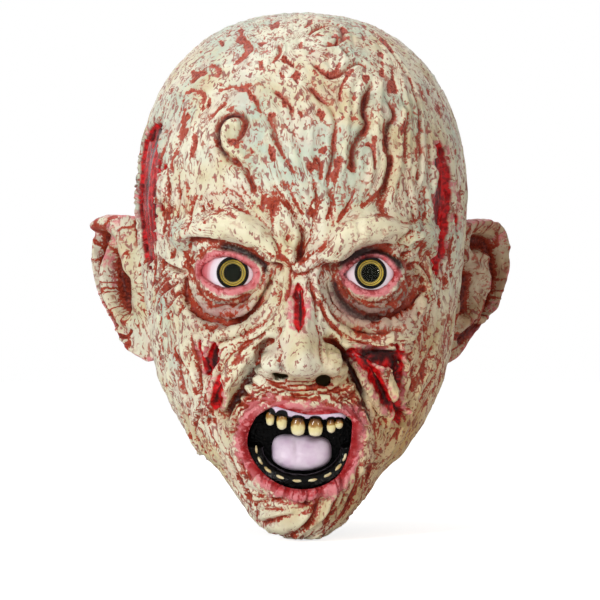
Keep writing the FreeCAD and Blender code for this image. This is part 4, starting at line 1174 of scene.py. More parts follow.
def ear_piece(name, side_sign, seed):
    """One ear: a plate whose outer face carries the folds, turned out from its root on the head."""
    spokes, rings = ((240, 130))
    angle = (np.arange(spokes) / spokes * 2 * math.pi - math.pi)[:, None]
    edge = polar_edge(EAR_OUTLINES[side_sign], angle)
    trip = np.linspace(0.02, 1.98, rings)[None, :]
    facing = (trip <= 1) + 0 * angle
    share = np.where(facing > 0, trip, 2 - trip)
    share = np.sin(share * math.pi / 2) * 0.35 + share * 0.65
    out = ear_width * 0.40 + edge * share * np.cos(angle)
    up = edge * share * np.sin(angle)

    rise, stain, dark = ear_forms(side_sign, out, up, seed + 5)
    back = np.minimum(rise, 2.0) - ear_wall * np.minimum(1.0, 0.5 + (1 - share) * 14)
    root = 1 - ramp(np.hypot((out - 14) / 13, up / 30), 0.75, 1.25)
    level = np.where(facing > 0, rise * ramp(1 - share, 0, 0.05), back - 22 * root)
    flare_x, flare_y = math.sin(ear_flare), math.cos(ear_flare)
    x = ear_root[0] + out * flare_x + level * flare_y
    y = ear_root[1] + out * flare_y - level * flare_x
    fields = [side_sign * x, y, ear_middle_height + up, share, facing, stain, dark, out]
    if side_sign < 0:
        fields = [field[::-1] for field in fields]
    share, facing, stain, dark, out = fields[3:]
    grid = np.stack(fields[:3], -1)

    turn = np.linspace(0, 60, spokes)[:, None] + 0 * share
    radial = cloud(np.stack([share * 5, turn, 0 * share], -1), 1.6, seed)
    wrinkle = bell(radial, 0.18) * ramp(share, 0.25, 0.45) * (1 - ramp(share, 0.96, 1.0))
    lump = cloud(grid, 9.0, seed + 1)
    small = cloud(grid, 3.0, seed + 2)
    height = (0.5 * lump + 0.3 * small - 0.6 * wrinkle) * ramp(share, 0.06, 0.25)
    grid = grid + grid_frame(grid)[2] * height[..., None]
    grid = outside_head(grid.reshape(-1, 3), 0.35).reshape(grid.shape)

    # rust in the folds, pink on the rim and in patches, and a browner left ear
    stain = np.maximum(stain * facing, 0.85 * wrinkle)
    patches = 0.36 * facing * bell(out - 38, 10) * ramp(lump, -0.3, 0.4) * (1 - ramp(stain, 0.3, 0.8))
    pinkish = np.maximum(0.4 * bell(share - 0.99, 0.05), patches)
    browned = 0.0
    if side_sign > 0:
        stain = np.maximum(stain, (0.34 + 0.16 * lump + 0.10 * small) * facing)
        browned = 0.14
    ear, spot = closed_piece(name, grid)
    fields = {
        "paint": (stain, 0 * stain, pinkish, 0.2 + 0.3 * lump),
        "tone": (0.5 + 0.2 * radial, dark * facing, 0.5 - browned + height / 12, 0 * stain),
    }
    for layer, laid in fields.items():
        paint(ear, layer, np.stack([field.reshape(-1)[spot] for field in laid], -1))
    return ear


# ---- eyes --------------------------------------------------------------------------------------
def turned_piece(name, side_sign, profile, closed):
    """Piece turned about one eye's axis: a circle extruded and resized from ring to ring.

    The profile is (radius, distance ahead of the eye's middle) pairs. An open one has its ends filled.
    """
    middle = Vector((side_sign * eye_spacing / 2, -eye_depth, eye_height)) * MM
    before_radius, before_ahead = profile[0]
    bpy.ops.object.select_all(action="DESELECT")
    bpy.ops.mesh.primitive_circle_add(
        vertices=64, radius=before_radius * MM, fill_type="NOTHING" if closed else "NGON",
        location=middle + Vector((0, -before_ahead * MM, 0)), rotation=(math.pi / 2, 0, 0))
    piece = bpy.context.object
    bpy.ops.object.transform_apply(location=True, rotation=True, scale=True)
    piece.name = piece.data.name = name
    bpy.ops.object.mode_set(mode="EDIT")
    bpy.ops.mesh.select_all(action="SELECT")
    steps = profile[1:] + ([profile[0]] if closed else [])
    for radius, ahead in steps:
        back = (before_ahead - ahead) * MM
        bpy.ops.mesh.extrude_edges_move(TRANSFORM_OT_translate={"value": (0, back, 0)})
        share = radius / before_radius
        centre = middle + Vector((0, -ahead * MM, 0))
        bpy.ops.transform.resize(value=(share, 1, share), center_override=centre)
        before_radius, before_ahead = radius, ahead
    if not closed:
        bpy.ops.mesh.edge_face_add()
    bpy.ops.mesh.select_all(action="SELECT")
    bpy.ops.mesh.remove_doubles(threshold=0.000002)
    bpy.ops.mesh.normals_make_consistent(inside=False)
    bpy.ops.object.mode_set(mode="OBJECT")
    bpy.ops.object.shade_smooth_by_angle(angle=math.radians(32))
    return piece


def arc_profile(radius, start, end, count, lift=0.0):
    """Rings on a ball, from one angle off the axis to another, in degrees."""
    rings = []
    for k in range(count):
        a = math.radians(start + (end - start) * k / (count - 1))
        rings.append((radius * math.sin(a), radius * math.cos(a) + lift))
    return rings


def ball_ahead(radius, out):
    """How far ahead of its middle a ball's surface is, at a distance out from its axis."""
    return math.sqrt(radius * radius - out * out)


def off_eye_axis(piece, side_sign):
    """Distance of a piece's vertices from an eye's axis."""
    place = read_places(piece)
    return np.hypot(place[:, 0] - side_sign * eye_spacing / 2, place[:, 2] - eye_height)


def eye_pieces(name, side_sign):
    """One eye: hollow half ball, black bezel, iris ring, pupil lens and clear cap."""
    bezel_outer = 8.8
    bezel_rise = 0.7
    iris_radius = 7.2
    iris_lip = 4.7
    pupil_radius = 5.6
    bezel_back = ball_ahead(eye_radius, bezel_outer) - 4.0
    iris_back = bezel_back + 1.0
    bore = bezel_outer + 0.15
    start = math.degrees(math.asin(bore / eye_radius))
    outside = arc_profile(eye_radius, start, 90, 22)
    inner = eye_radius - 1.6
    inside = [(inner, -4.0), (inner, 3.0), (14.5, 9.0), (bore, ball_ahead(inner, bore))]
    ball = turned_piece(name + "_white", side_sign, outside + [(eye_radius, -4.0)] + inside, True)

    front = ball_ahead(eye_radius, bezel_outer) + bezel_rise
    lip, iris_bore = pupil_radius + 0.6, iris_radius + 0.1
    rim = [(bezel_outer, bezel_back), (bezel_outer, front - 0.7)]
    edge = 0.45
    for a in (0.4, 0.8, 1.2, 1.57):
        rim.append((bezel_outer - edge + edge * math.cos(a), front - edge + edge * math.sin(a)))
    rim += [(iris_bore + 0.3, front), (iris_bore, front - 0.3)]
    rim += [(iris_bore, iris_back), (lip, iris_back), (lip, bezel_back)]
    bezel = turned_piece(name + "_limbal_rim", side_sign, rim, True)

    low, high = iris_back + 0.05, iris_back + 1.05
    ring = [(pupil_radius, low), (iris_radius, low), (iris_radius, high), (6.9, high), (6.7, high - 0.2)]
    ring += [(6.45, high - 0.2), (6.25, high), (iris_lip + 0.15, high), (iris_lip, high - 0.1)]
    ring += [(pupil_radius, high - 0.15)]
    iris = turned_piece(name + "_iris", side_sign, ring, True)
    paint_one(iris, "ring", (off_eye_axis(iris, side_sign) - iris_lip) / (iris_radius - iris_lip))

    pupil_edge = pupil_radius - 0.1
    dome = [(pupil_edge, low), (pupil_edge, low + 0.5)]
    dome += [(pupil_edge * math.cos(a), low + 0.5 + 0.35 * math.sin(a)) for a in (0.3, 0.6, 0.9, 1.2, 1.45)]
    pupil = turned_piece(name + "_pupil", side_sign, dome, False)

    low = iris_back + 1.15
    cap = [(iris_radius, low), (iris_radius, low + 0.5)]
    cap += [(iris_radius * math.cos(a), low + 0.6 + 2.4 * math.sin(a)) for a in np.linspace(0.08, 1.52, 14)]
    cornea = turned_piece(name + "_clear_cap", side_sign, cap, False)
    paint_one(ball, "flush", ramp(off_eye_axis(ball, side_sign), 9.5, 15.5))
    return ball, bezel, iris, pupil, cornea


# ---- mouth -------------------------------------------------------------------------------------
def form_front(x, z, offset):
    """Depth of the form's front at places across and up, offset outwards."""
    low, high = np.zeros_like(x), np.full_like(x, math.pi / 2)
    for n in range(24):
        middle = (low + high) / 2
        short = form_points(middle, z, offset)[..., 0] < np.abs(x)
        low, high = np.where(short, middle, low), np.where(short, high, middle)
    return form_points(low, z, offset)[..., 1]


def tooth_piece(name, centre, size, lean, yaw, seed):
    """One tooth, carved from a cube: crowned front, rounded chipped tip, narrowing root."""
    bpy.ops.object.select_all(action="DESELECT")
    bpy.ops.mesh.primitive_cube_add(size=1.0)
    piece = bpy.context.object
    piece.name = piece.data.name = name
    bpy.ops.object.mode_set(mode="EDIT")
    bpy.ops.mesh.select_all(action="SELECT")
    bpy.ops.mesh.subdivide(number_cuts=13)
    bpy.ops.object.mode_set(mode="OBJECT")
    x, y, z = (read_places(piece) * MM * 2).T
    round_x = x * np.sqrt(1 - y * y / 2.3 - z * z / 2.6 + y * y * z * z / 6)
    round_y = y * np.sqrt(1 - x * x / 2.0 - z * z / 2.6 + x * x * z * z / 5)
    round_z = z * np.sqrt(1 - x * x / 2.4 - y * y / 3.0 + x * x * y * y / 8)
    bump = cloud(np.stack([round_x, round_y, round_z], -1) * 4, 1.7, seed)
    chip = 0.25 * bump * (round_z > 0.5)
    block = np.stack([
        round_x * size[0] / 2 * (1.06 - 0.14 * ramp(-round_z, -0.2, 1)) + 0.08 * bump,
        round_y * size[1] / 2 + 0.06 * bump,
        round_z * size[2] / 2 + chip,
    ], -1)
    x, y, z = block.T
    c, sn = math.cos(lean), math.sin(lean)
    x, z = c * x + sn * z, -sn * x + c * z
    c, sn = math.cos(yaw), math.sin(yaw)
    x, y = c * x - sn * y, sn * x + c * y
    write_places(piece, np.stack([x, y, z], -1) + np.array(centre))
    paint(piece, "tip", np.stack([0.5 + round_z / 2, 0 * round_z, 0 * round_z, 1 + 0 * round_z], -1))
    choose(piece)
    bpy.ops.object.shade_smooth()
    return piece


def gum_line(x):
    """Height of the upper gum's edge, which climbs towards the wearer's right."""
    return np.interp(x, [-25, -17.5, -10.9, -2, 8, 16, 24], [73.4, 72.2, 70.9, 68.2, 67.6, 67.2, 67.0])


def upper_tooth_span(place_x, length):
    """Heights of an upper tooth's root and tip."""
    return gum_line(place_x) + 0.6, 67.5 - length


def upper_tooth(number, place_x, width, length):
    """One upper tooth, standing down from the gum's edge and facing out of the mouth."""
    top, bottom = upper_tooth_span(place_x, length)
    here = np.array([place_x - 0.4, place_x + 0.4])
    depth = form_front(here, np.full(2, 70.0), -(wall + glue_gap))
    yaw = math.atan2(depth[1] - depth[0], 0.8)
    centre = (place_x, depth.mean() + 2.2, (top + bottom) / 2)
    size = (width, 5.0, top - bottom)
    return tooth_piece("upper_tooth_carved_" + str(number), centre, size, math.pi, yaw, 80 + number)


def lower_arch(degrees, inset):
    """Places across and up, inset from the lower lip, at degrees below the mouth's right corner."""
    a = np.radians(degrees)
    return -(mouth_width / 2 - inset) * np.cos(a), mouth_height - (mouth_opening / 2 - inset) * np.sin(a)


def lower_tooth(number, degrees, width, length):
    """One short lower tooth, leaning with the arch."""
    x, z = lower_arch(np.array([degrees - 2.0, degrees + 2.0]), 3.5)
    depth = form_front(x, z, -(wall + 0.6))
    yaw = math.atan2(depth[1] - depth[0], x[1] - x[0]) if 20 < degrees < 150 else 0.0
    centre = (x.mean(), depth.mean() + 0.9, z.mean())
    size = (width * 1.04, 4.4, 1.0 + 0.24 * length)
    lean = math.atan2(z[1] - z[0], x[1] - x[0])
    return tooth_piece("lower_tooth_carved_" + str(number), centre, size, -lean, yaw, 90 + number)


def tube_points(path, across, half_a, half_b, spokes):
    """Grid of points round a bar along a path; across is the direction of its first half size."""
    ahead = np.gradient(path, axis=0)
    ahead /= np.linalg.norm(ahead, axis=1, keepdims=True)
    first = across - ahead * (across * ahead).sum(1, keepdims=True)
    first /= np.linalg.norm(first, axis=1, keepdims=True)
    second = np.cross(ahead, first)
    a = np.arange(spokes) / spokes * 2 * math.pi
    ca = np.sign(np.cos(a)) * np.abs(np.cos(a)) ** 0.8
    sa = np.sign(np.sin(a)) * np.abs(np.sin(a)) ** 0.8
    first = first[None] * (half_a * ca)[:, None, None]
    return path[None] + first + second[None] * (half_b * sa)[:, None, None]


def rounded_ends(grid, count):
    """Draws the first and last rings of a bar in to round its ends."""
    middle = grid.mean(0)
    shrink = np.ones(grid.shape[1])
    for k in range(count):
        shrink[k] = shrink[-1 - k] = math.sin(math.pi / 2 * (k + 0.35) / count)
    return middle + (grid - middle) * shrink[None, :, None]


def upper_gum_piece():
    """Bar behind the upper lip, pale lilac above the teeth and black round them."""
    x = np.linspace(-24.6, 24.6, 150)
    z = 72.0 + 0.5 * (gum_line(x) - 67.6)
    path = np.stack([x, form_front(x, z, -(wall + glue_gap + 3.5 + 0.4)), z], -1)
    grid = tube_points(path, np.array([[0, 0, 1.0]]), 5.0, 3.6, 60)
    grid = rounded_ends(grid, 9)
    black = ramp(gum_line(grid[..., 0]) - 0.8 - grid[..., 2], -0.6, 0.6)
    for place_x, width, length in UPPER_TEETH:
        top, bottom = upper_tooth_span(place_x, length)
        across = (grid[..., 0] - place_x) / (width / 2 + 1.1)
        climb = (grid[..., 2] - (top + bottom) / 2) / ((top - bottom) / 2 + 0.9)
        ring = (np.abs(across) ** 2.6 + np.abs(climb) ** 2.6) ** (1 / 2.6)
        black = np.maximum(black, 1 - ramp(ring, 0.92, 1.04))
    grid = grid + (0.22 * cloud(grid, 3.5, 61) + 0.12 * cloud(grid, 1.4, 64))[..., None]
    gum, spot = closed_piece("upper_gum_moulded", grid)
    paint_one(gum, "band", black.reshape(-1)[spot])
    return gum


def lower_gum_piece():
    """Bar along the lower lip, in which the short teeth stand."""
    degrees = np.linspace(-8, 188, 150)
    x, z = lower_arch(degrees, 1.8)
    path = np.stack([x, form_front(x, z, -(wall + glue_gap + 4.5 + 0.4)), z], -1)
    grid = tube_points(path, np.array([[0, 1.0, 0]]), 4.6, 5.4, 56)
    grid = rounded_ends(grid, 6)
    grid = grid + (0.3 * cloud(grid, 4.5, 62) + 0.22 * cloud(grid, 1.8, 63))[..., None]
    return closed_piece("lower_gum_moulded", grid)[0]


def tongue_piece():
    """Flat-topped tongue whose face slopes back as it rises."""
    share = 1 - np.cos(np.linspace(0.05, math.pi / 2, 48))[None, ::-1]
    a = (np.arange(96) / 96 * 2 * math.pi)[:, None]
    c, sn = np.cos(a), np.sin(a)
    tip, root = -tongue_tip, -(lining_back + lining_wall + glue_gap)
    power = np.where(c > 0, 0.5, 0.92)
    x = 16.6 * np.sign(sn) * np.abs(sn) ** power
    z = np.where(c > 0, 11.0 * np.abs(c) ** power, -8.8 * np.abs(c))
    round_off = 0.04 + 0.96 * np.sqrt(np.clip(1 - (1 - share) ** 6, 0, 1))
    x, z = x * round_off, z * round_off
    y = tip + (root - tip) * share + 0.26 * (z + 9.0) * (1 - share)
    y = y + 1.2 * bell(x + 2.6, 1.5) * ramp(z, -6, 5) * (1 - share)
    grid = np.stack([x, y, 46.6 + z - 0.06 * x * ramp(z, 0, 8)], -1)
    grid = grid + (0.2 * cloud(grid, 5.0, 71) + 0.1 * cloud(grid, 1.8, 72))[..., None]
    return closed_piece("tongue_moulded", grid)[0]


# ---- materials ---------------------------------------------------------------------------------
def colour(code):
    """Linear colour of an sRGB hex code."""
    parts = [int(code[k:k + 2], 16) / 255 for k in (1, 3, 5)]
    return tuple(p / 12.92 if p <= 0.04045 else ((p + 0.055) / 1.055) ** 2.4 for p in parts) + (1.0,)


def node(tree, kind, settings=None, inputs=None):
    """Adds a node with its settings; an input is a value, or another node's output to link."""
    made = tree.nodes.new(kind)
    for key, value in (settings or {}).items():
        setattr(made, key, value)
    for key, value in (inputs or {}).items():
        if isinstance(value, bpy.types.NodeSocket):
            tree.links.new(value, made.inputs[key])
        else:
            made.inputs[key].default_value = value
    return made


def new_material(name):
    """Material with an empty node tree, and that tree."""
    material = bpy.data.materials.new(name)
    material.use_nodes = True
    tree = material.node_tree
    tree.nodes.clear()
    return material, tree


# It also carries painted shade in hollows, under the brows and in wounds, and painted highlights on ridges.
# Painted latex of the skin and ears: natural rubber, slush-moulded, then sponged, washed and brushed with
# rubber paint. It gives the eye a dry cream coat, pale on the folds and rust red between them, under a thin
# satin varnish that is wetter where it bleeds.
# Noises of the latex: (size in millimetres, detail, roughness). Bristle marks, the mould's grain and the
# finest lines are really 0.3 to 0.8 mm wide, and are drawn two or three times as wide, so that they show.
LATEX_NOISES = {
    "yellowing": (34.0, 2.0, 0.5), "sponge": (9.0, 2.0, 0.5), "blush": (14.0, 3.0, 0.5),
    "brush": (1.5, 3.0, 0.6), "lip_brush": (3.0, 3.0, 0.5), "muscle": (2.6, 2.0, 0.5),
    "crinkle": (2.2, 1.0, 0.5), "line_gaps": (7.0, 2.0, 0.5),
    "curls": (4.2, 1.5, 0.5), "curl_gaps": (6.0, 1.0, 0.5), "speck_gaps": (13.0, 1.5, 0.5),
    "varnish": (5.0, 3.0, 0.5), "stipple": (1.6, 3.0, 0.6),
}
speck_size = 2.3
# Recipes of the values: each starts from a noise, a value above it or what the sculpting laid on the
# vertices, and goes on from left to right. A bracket is a smooth Map Range from a low to a high end, to 0
# and 1 or to the two numbers after them.
SPREAD_INPUTS = ("Value", "From Min", "From Max", "To Min", "To Max")
SIGNS = {
    "*": "MULTIPLY", "+": "ADD", "-": "SUBTRACT", "greater": "MAXIMUM", "fraction": "FRACT",
    "absolute": "ABSOLUTE",
}
LATEX_VALUES = {
    # the cream coat: clouds in it, browner where it is sunk, painted grey-green shade in minty hollows and a
    # painted highlight on the ridges
    "yellowed": ("yellowing", (0.42, 0.66)),
    "minted": ("sponge", (0.30, 0.55, 0.35, 1.0), "*", "mint"),
    "blushed": ("blush", (0.45, 0.70, 0.0, 0.40)),
    "sunk": ("height", (0.49, 0.28, 0.0, 0.65)),
    "painted_green_shade": ("height", (0.47, 0.34, 0.0, 0.8), "*", "mint"),
    # painted highlight, paler on the highest ridges
    "painted_ridge_highlight": ("height", (0.56, 0.74, 0.0, 0.75)),
    # fine broken creases along the grain's contour lines, fewer where the skin is smooth
    "lively": ("quiet", (0.0, 0.8, 1.0, 0.25)),
    "shift": ("crinkle", "*", 0.7),
    "line_gap": ("field", "*", 8.0, "+", "shift", "fraction", "-", 0.5, "absolute"),
    "line_run": ("line_gaps", (0.50, 0.62)),
    "line": ("line_gap", (0.08, 0.24, 1.0, 0.0), "*", "line_run", "*", "lively"),
    "line_paint": ("line", "*", 0.8),
    # short curled marks and specks of spatter between them
    "curl_run": ("curl_gaps", (0.56, 0.64)),
    "curl": ("curls", "-", 0.5, "absolute", (0.03, 0.06, 1.0, 0.0), "*", "curl_run", "*", "lively"),
    "curl_paint": ("curl", "*", 0.85),
    "calmer": ("quiet", "*", -0.035),
    "speck_run": ("speck_gaps", (0.34, 0.52, 0.15, 1.0)),
    "speck_paint": ("specks", "+", "calmer", (0.575, 0.625), "*", "speck_run", "*", 0.85),
    # bruises, with a painted highlight on their ridges
    "bruised": ("brush", (0.3, 0.7, 0.75, 1.0), "*", "bruise"),
    "painted_bruise_highlight": ("brush", "*", 0.10, "+", "height", (0.555, 0.615, 0.0, 0.6), "*", "bruise"),
    # the lower left, warmer and darker: partly yellowed paint, partly painted shade on the side away from
    # the key lamp; in metres across and up
    "lower": ("up", (0.150, 0.050, 0.15, 0.75)),
    "yellowed_and_shaded_lower_left": ("across", (-0.005, 0.055), "*", "lower"),
    # the rust wash in every fold, heavier under the chin, paler over the crown
    "chin_wash": ("up", (0.060, 0.020, 0.0, 0.10)),
    "wash": ("brush", (0.3, 0.7, -0.2, 0.2), "+", "stain", "+", "chin_wash"),
    "washed": ("wash", (0.42, 0.66)),
    "soaked": ("wash", (0.78, 1.08)),
    "crown": ("up", (0.175, 0.225)),
    # painted shade, darkest on the deepest floors of the folds
    "deep": ("height", (0.41, 0.24, 0.0, 0.5)),
    # the pink of lips and lids, redder at their rims
    "rose": ("lip_brush", (0.3, 0.7, -0.2, 0.2), "+", "pink"),
    "rosy": ("rose", (0.12, 0.55)),
    "reddest": ("rose", (0.65, 1.05)),
    "lip_wash": ("wash", (0.3, 0.6), "*", "pink"),
    # marbled flesh in the wounds, and the painted shade laid by the sculpting: under brows, in folds,
    # nostrils, ear hollows and wound floors
    "marbled": ("muscle", (0.4, 0.62)),
    "open": ("blood", (0.25, 0.6)),
    "shaded": ("brush", (0.3, 0.7, -0.06, 0.06), "+", "dark", (0.05, 1.0)),
    # satin varnish, and the mould's grain with the fine lines cut in
    "wet": ("blood", "*", 0.16),
    "gloss": ("varnish", (0.3, 0.7, 0.30, 0.44), "-", "wet"),
    "cut": ("line", "greater", "curl"),
    "relief": ("stipple", "*", 0.8, "-", "cut"),
}
# Paints mixed from two: (name, share, first, second).
LATEX_MIXES = [("rust", "crown", "#AC4129", "#BC5A47"), ("flesh", "marbled", "#980A0E", "#DC1A1E")]
# Coats of paint on the cream, from the lowest up: (share, paint). The coat of the lower left, warmer and
# darker, multiplies what is under it.
cream = "#F3EFD6"
# Among them is painted light: highlights on ridges and bruises, grey-green shade in hollows, shade on the
# deepest floors, the darkest shade and the shaded lower left.
LATEX_COATS = [
    ("yellowed", "#DDCFA4"), ("minted", "#C8D6C4"), ("blushed", "#E6CFC4"), ("sunk", "#C79A78"),
    ("painted_green_shade", "#8E9A88"), ("painted_ridge_highlight", "#F8F3D2"), ("line_paint", "#AE5A42"), ("curl_paint", "#B0563F"),
    ("speck_paint", "#9A524C"), ("bruised", "#73393A"), ("painted_bruise_highlight", "#E0B4AC"), ("yellowed_and_shaded_lower_left", "#EFCB98"),
    ("washed", "rust"), ("soaked", "#74200F"), ("deep", "#4E150C"), ("rosy", "#E48A8E"),
    ("reddest", "#C83C42"), ("lip_wash", "#A31F22"), ("open", "flesh"), ("shaded", "#220A08"),
]


def painted_latex():
    """The skin's and ears' paint: what the sculpting laid, noises, values from them, coats, varnish."""
    material, tree = new_material("painted_latex")
    place = node(tree, "ShaderNodeTexCoord").outputs["Object"]
    split_place = node(tree, "ShaderNodeSeparateXYZ", inputs={0: place})
    quiet = node(tree, "ShaderNodeAttribute", {"attribute_name": "quiet"})
    at = {"across": split_place.outputs["X"], "up": split_place.outputs["Z"], "quiet": quiet.outputs["Fac"]}
    laid = {"paint": ("stain", "blood", "pink"), "tone": ("field", "dark", "height")}
    for layer, names in laid.items():
        given = node(tree, "ShaderNodeAttribute", {"attribute_name": layer})
        split = node(tree, "ShaderNodeSeparateColor", inputs={"Color": given.outputs["Color"]})
        at.update(zip(names, split.outputs))
        at["mint" if layer == "paint" else "bruise"] = given.outputs["Alpha"]
    for name, (size_mm, detail, roughness) in LATEX_NOISES.items():
        at[name] = node(tree, "ShaderNodeTexNoise", inputs={
            "Vector": place, "Scale": 1000 / size_mm, "Detail": detail, "Roughness": roughness,
        }).outputs["Fac"]
    # specks that ran to twice their width
    drawn_out = node(tree, "ShaderNodeMapping", inputs={"Vector": place, "Scale": (1.0, 1.0, 0.5)})
    at["specks"] = node(tree, "ShaderNodeTexNoise", inputs={
        "Vector": drawn_out.outputs[0], "Scale": 1000 / speck_size, "Detail": 1.0, "Distortion": 0.6,
    }).outputs["Fac"]

    for name, recipe in LATEX_VALUES.items():
        steps = list(recipe)
        value = at[steps.pop(0)]
        while steps:
            step = steps.pop(0)
            if isinstance(step, tuple):
                kind, settings = "ShaderNodeMapRange", {"interpolation_type": "SMOOTHSTEP"}
                inputs = dict(zip(SPREAD_INPUTS, (value, *step)))
            else:
                kind, settings, inputs = "ShaderNodeMath", {"operation": SIGNS[step]}, {0: value}
                if step not in ("fraction", "absolute"):
                    other = steps.pop(0)
                    inputs[1] = at.get(other, other)
            value = node(tree, kind, settings, inputs).outputs[0]
        at[name] = value
    for name, share, first, second in LATEX_MIXES:
        at[name] = node(tree, "ShaderNodeMix", {"data_type": "RGBA"}, {
            0: at[share], 6: colour(first), 7: colour(second)}).outputs[2]
    base = colour(cream)
    for share, coat in LATEX_COATS:
        settings = {"data_type": "RGBA", "blend_type": "MULTIPLY" if share == "yellowed_and_shaded_lower_left" else "MIX"}
        coat = at[coat] if coat in at else colour(coat)
        base = node(tree, "ShaderNodeMix", settings, {0: at[share], 6: base, 7: coat}).outputs[2]

    bump = node(tree, "ShaderNodeBump", inputs={
        "Strength": 0.7, "Distance": 0.3 * MM, "Height": at["relief"]})
    shader = node(tree, "ShaderNodeBsdfPrincipled", inputs={
        "Base Color": base, "Roughness": at["gloss"], "Specular IOR Level": 0.20, "Normal": bump.outputs[0]})
    node(tree, "ShaderNodeOutputMaterial", inputs={"Surface": shader.outputs[0]})
    return material


def washed_material(name, attribute, size_mm, roughness, coat, stops):
    """Moulded piece painted along one painted value, from colour to colour, with brush clouds in it."""
    material, tree = new_material(name)
    place = node(tree, "ShaderNodeTexCoord").outputs["Object"]
    laid = node(tree, "ShaderNodeAttribute", {"attribute_name": attribute})
    split = node(tree, "ShaderNodeSeparateColor", inputs={"Color": laid.outputs["Color"]})
    noise = node(tree, "ShaderNodeTexNoise", inputs={
        "Vector": place, "Scale": 1000 / size_mm, "Detail": 3.0}).outputs["Fac"]
    drift = node(tree, "ShaderNodeMapRange", inputs={
        "Value": noise, "From Min": 0.3, "From Max": 0.7, "To Min": -0.09, "To Max": 0.09})
    value = node(tree, "ShaderNodeMath", {"operation": "ADD"}, {
        0: split.outputs["Red"], 1: drift.outputs["Result"]}).outputs[0]
    base = colour(stops[0][1])
    for (low, code), (high, next_code) in zip(stops, stops[1:]):
        part = node(tree, "ShaderNodeMapRange", {"interpolation_type": "SMOOTHSTEP"}, {
            "Value": value, "From Min": low, "From Max": high})
        base = node(tree, "ShaderNodeMix", {"data_type": "RGBA"}, {
            0: part.outputs["Result"], 6: base, 7: colour(next_code)}).outputs[2]
    bump = node(tree, "ShaderNodeBump", inputs={"Strength": 0.3, "Distance": 0.1 * MM, "Height": noise})
    shader = node(tree, "ShaderNodeBsdfPrincipled", inputs={
        "Base Color": base, "Roughness": roughness, "Coat Weight": coat, "Coat Roughness": 0.06,
        "Specular IOR Level": 0.25, "Normal": bump.outputs[0]})
    node(tree, "ShaderNodeOutputMaterial", inputs={"Surface": shader.outputs[0]})
    return material


def plain_material(name, code, code_two, size_mm, roughness, bump_mm=0.0, level=0.5):
    """Moulded piece in one colour clouded with a second, with a fine surface grain."""
    material, tree = new_material(name)
    place = node(tree, "ShaderNodeTexCoord").outputs["Object"]
    noise = node(tree, "ShaderNodeTexNoise", inputs={
        "Vector": place, "Scale": 1000 / size_mm, "Detail": 3.0})
    share = node(tree, "ShaderNodeMapRange", inputs={
        "Value": noise.outputs["Fac"], "From Min": 0.4, "From Max": 0.65})
    base = node(tree, "ShaderNodeMix", {"data_type": "RGBA"}, {
        0: share.outputs["Result"], 6: colour(code), 7: colour(code_two)})
    fine = node(tree, "ShaderNodeTexNoise", inputs={
        "Vector": place, "Scale": 1000 / max(size_mm * 0.3, 0.5), "Detail": 2.0})
    bump = node(tree, "ShaderNodeBump", inputs={
        "Strength": 0.4, "Distance": bump_mm * MM, "Height": fine.outputs["Fac"]})
    shader = node(tree, "ShaderNodeBsdfPrincipled", inputs={
        "Base Color": base.outputs[2], "Roughness": roughness, "IOR": 1.5, "Coat Roughness": 0.06,
        "Specular IOR Level": level, "Normal": bump.outputs[0]})
    node(tree, "ShaderNodeOutputMaterial", inputs={"Surface": shader.outputs[0]})
    return material


def clear_plastic():
    """Clear cast acrylic, polished: the thin caps over the irises."""
    material, tree = new_material("clear_cap_plastic")
    shader = node(tree, "ShaderNodeBsdfPrincipled", inputs={
        "Base Color": (1, 1, 1, 1), "Roughness": 0.02, "IOR": cap_ior, "Transmission Weight": 1.0})
    node(tree, "ShaderNodeOutputMaterial", inputs={"Surface": shader.outputs[0]})
    return material


def give(piece, *materials):
    """Puts materials in a piece's slots, adding a slot where there is none."""
    for k, material in enumerate(materials):
        if k < len(piece.data.materials):
            piece.data.materials[k] = material
        else:
            piece.data.materials.append(material)


# ---- building it all ---------------------------------------------------------------------------
# Upper teeth: place across, width, length. Lower teeth: degrees along the arch, width, length.
UPPER_TEETH = [
    (-17.3, 4.4, 4.0), (-10.9, 5.6, 6.2), (-2.0, 7.6, 9.5), (7.6, 7.6, 10.0), (16.2, 4.6, 8.0),
    (20.5, 4.2, 5.5),
]
LOWER_TEETH = [
    (4, 4.2, 2.4), (24, 5.0, 2.6), (43, 5.4, 3.2), (63, 5.6, 3.8), (84, 5.8, 4.0), (104, 5.8, 4.0),
    (124, 5.6, 3.6), (143, 5.2, 3.0), (162, 4.6, 2.6),
]

latex = painted_latex()
# Bare latex inside the hood, slush-moulded: tan natural rubber, matt and a little uneven.
raw_latex = plain_material("raw_latex_inside", "#A8936A", "#927C54", 25, 0.6, bump_mm=0.2)
# Polystyrene eye, injection-moulded, sprayed red towards the lids, lacquered: white with sharp highlights.
eye_white = washed_material("moulded_eye_plastic", "flush", 12, 0.12, 0.5, [
    (0.0, "#F6ECF4"), (0.35, "#F3DCE6"), (0.75, "#E9A3AC"), (1.0, "#D4666E")])
# ABS moulded in black: a dark ring with a faint gloss.
limbal_black = plain_material("black_rim_plastic", "#080707", "#120E0C", 6, 0.25, level=0.15)
# Polystyrene ring painted amber: a dull gold, darker towards its inner and outer edges, with a dark ring of
# painted shade for its groove.
iris_paint = washed_material("iris_paint", "ring", 9, 0.3, 0.0, [
    (0.0, "#2A260E"), (0.10, "#4C4418"), (0.28, "#B79C3A"), (0.44, "#C9AE44"), (0.52, "#3E3512"),
    (0.58, "#3E3512"), (0.68, "#DCC254"), (0.90, "#C4A93E"), (1.0, "#5A4C18")])
# Smoked acrylic, cast nearly black: it shows no highlight of its own under the cap.
pupil_black = plain_material("smoked_pupil_plastic", "#14170F", "#0A0C0A", 3, 0.6, level=0.0)
# Black latex, moulded and varnished: small wet highlights in the dark of the mouth.
gum_black = plain_material("glossy_gum_rubber", "#050505", "#0A0808", 4, 0.10, bump_mm=0.9, level=0.09)
